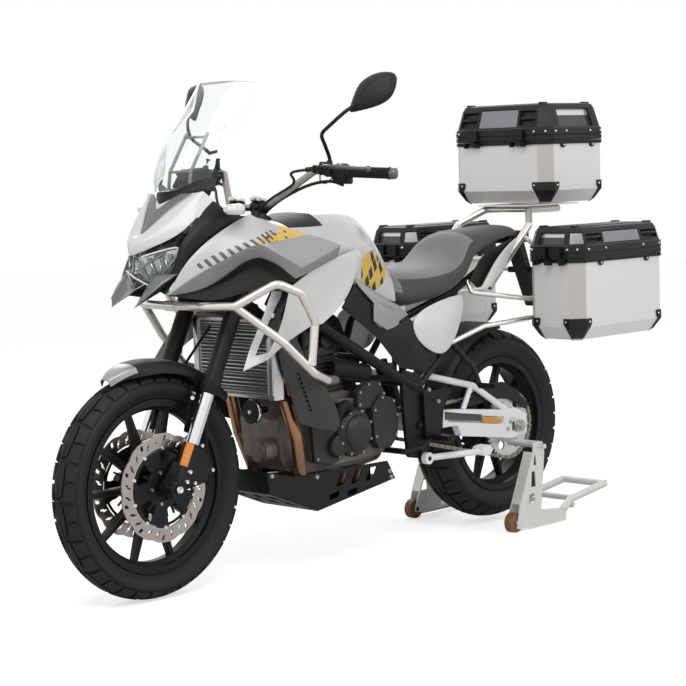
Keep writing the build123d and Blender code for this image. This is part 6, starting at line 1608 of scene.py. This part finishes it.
def case_rivets(case):
    """A row round the foot, and three pairs up each end."""
    inset = 40
    rivets = []
    for side in (1, -1):
        ends = [(share, 56) for share in (-0.72, -0.36, 0.0, 0.36, 0.72)]
        for share, rise in ends:
            rivets.append((case.spot(share * (case.half_length - inset), side * case.half_width, rise), (0, side, 0)))
        ends += [(share, rise) for rise in (90, 135, 180) for share in (-0.94, 0.94)]
        for share, rise in ends:
            rivets.append((case.spot(side * case.half_length, share * (case.half_width - inset), rise), (side, 0, 0)))
    studs(f"{case.label}_rivets", rivets, 0.0030, 0.0016, "frame", "case_shell", socket=False)


def corner_caps(case):
    """Moulded caps over the four lower corners, each with two bolts; returns the caps."""
    bm, cap_bolts = bmesh.new(), []
    # Each row is a height, how far the ears reach past the corner, and the distance outside the shell.
    for end in (1, -1):
        for side in (1, -1):
            rows = []
            for rise, ear, out in ((71, 25, 2.4), (70, 26, 4.0), (52, 25, 4.2), (42, 17, 4.2), (8, 7, 4.2),
                                   (-2.5, 3, 3.0)):
                a, b, cut = case.outline(rise, out)
                spots = [(a, b - cut - ear), (a, b - cut), (a - cut / 2, b - cut / 2), (a - cut, b), (a - cut - ear, b)]
                under = 5 if rise < 0 else 0
                rows.append([bm.verts.new(case.spot(end * (x - under), side * (y - under), rise)) for x, y in spots])
            for lower, upper in zip(rows, rows[1:]):
                for n in range(4):
                    corner = (lower[n], lower[n + 1], upper[n + 1], upper[n])
                    bm.faces.new(corner if end * side < 0 else corner[::-1])
            a, b, cut = case.outline(60, 4.2)
            for x, y, normal in ((a, b - cut - 15, (end, 0, 0)), (a - cut - 15, b, (0, side, 0))):
                cap_bolts.append((case.spot(end * x, side * y, 60), normal))
    middle_faces = [face for face in bm.faces if abs(face.normal.x) > 0.3 and abs(face.normal.y) > 0.3
                    and face.calc_area() > 0.0004]
    bmesh.ops.inset_region(bm, faces=middle_faces, thickness=0.004, depth=-0.0012)
    made = add_piece(f"{case.label}_corner_caps", bm, "frame", "lid_black")
    modify(made, "wall", "SOLIDIFY", thickness=0.0035, offset=-1.0)
    modify(made, "edges", "BEVEL", width=0.0008, segments=2, limit_method="ANGLE", angle_limit=0.5)
    studs(f"{case.label}_cap_bolts", cap_bolts, 0.0038, 0.0022, "frame", "chrome", socket=False)
    return made


for label, sizes in CASES.items():
    case = Case(label, *sizes)
    # Each case body gets its own sheet finish, with painted shade on its folded corners.
    nodes[f"{label}_body"].data.materials[0] = finish(f"{label}_shell", **CASE_SHEET, folds=(
        case.centre.x, case.centre.y, (case.half_length + case.half_width - CHAMFER) / 1000, case.half_length / 1000))
    lid_shell(case)
    lid_bolts(case)
    lid_handles(case)
    hinge_blocks(case)
    case_rim(case)
    case_rivets(case)
    caps_piece = corner_caps(case)
    if label == "top_case":
        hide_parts("case_corners")
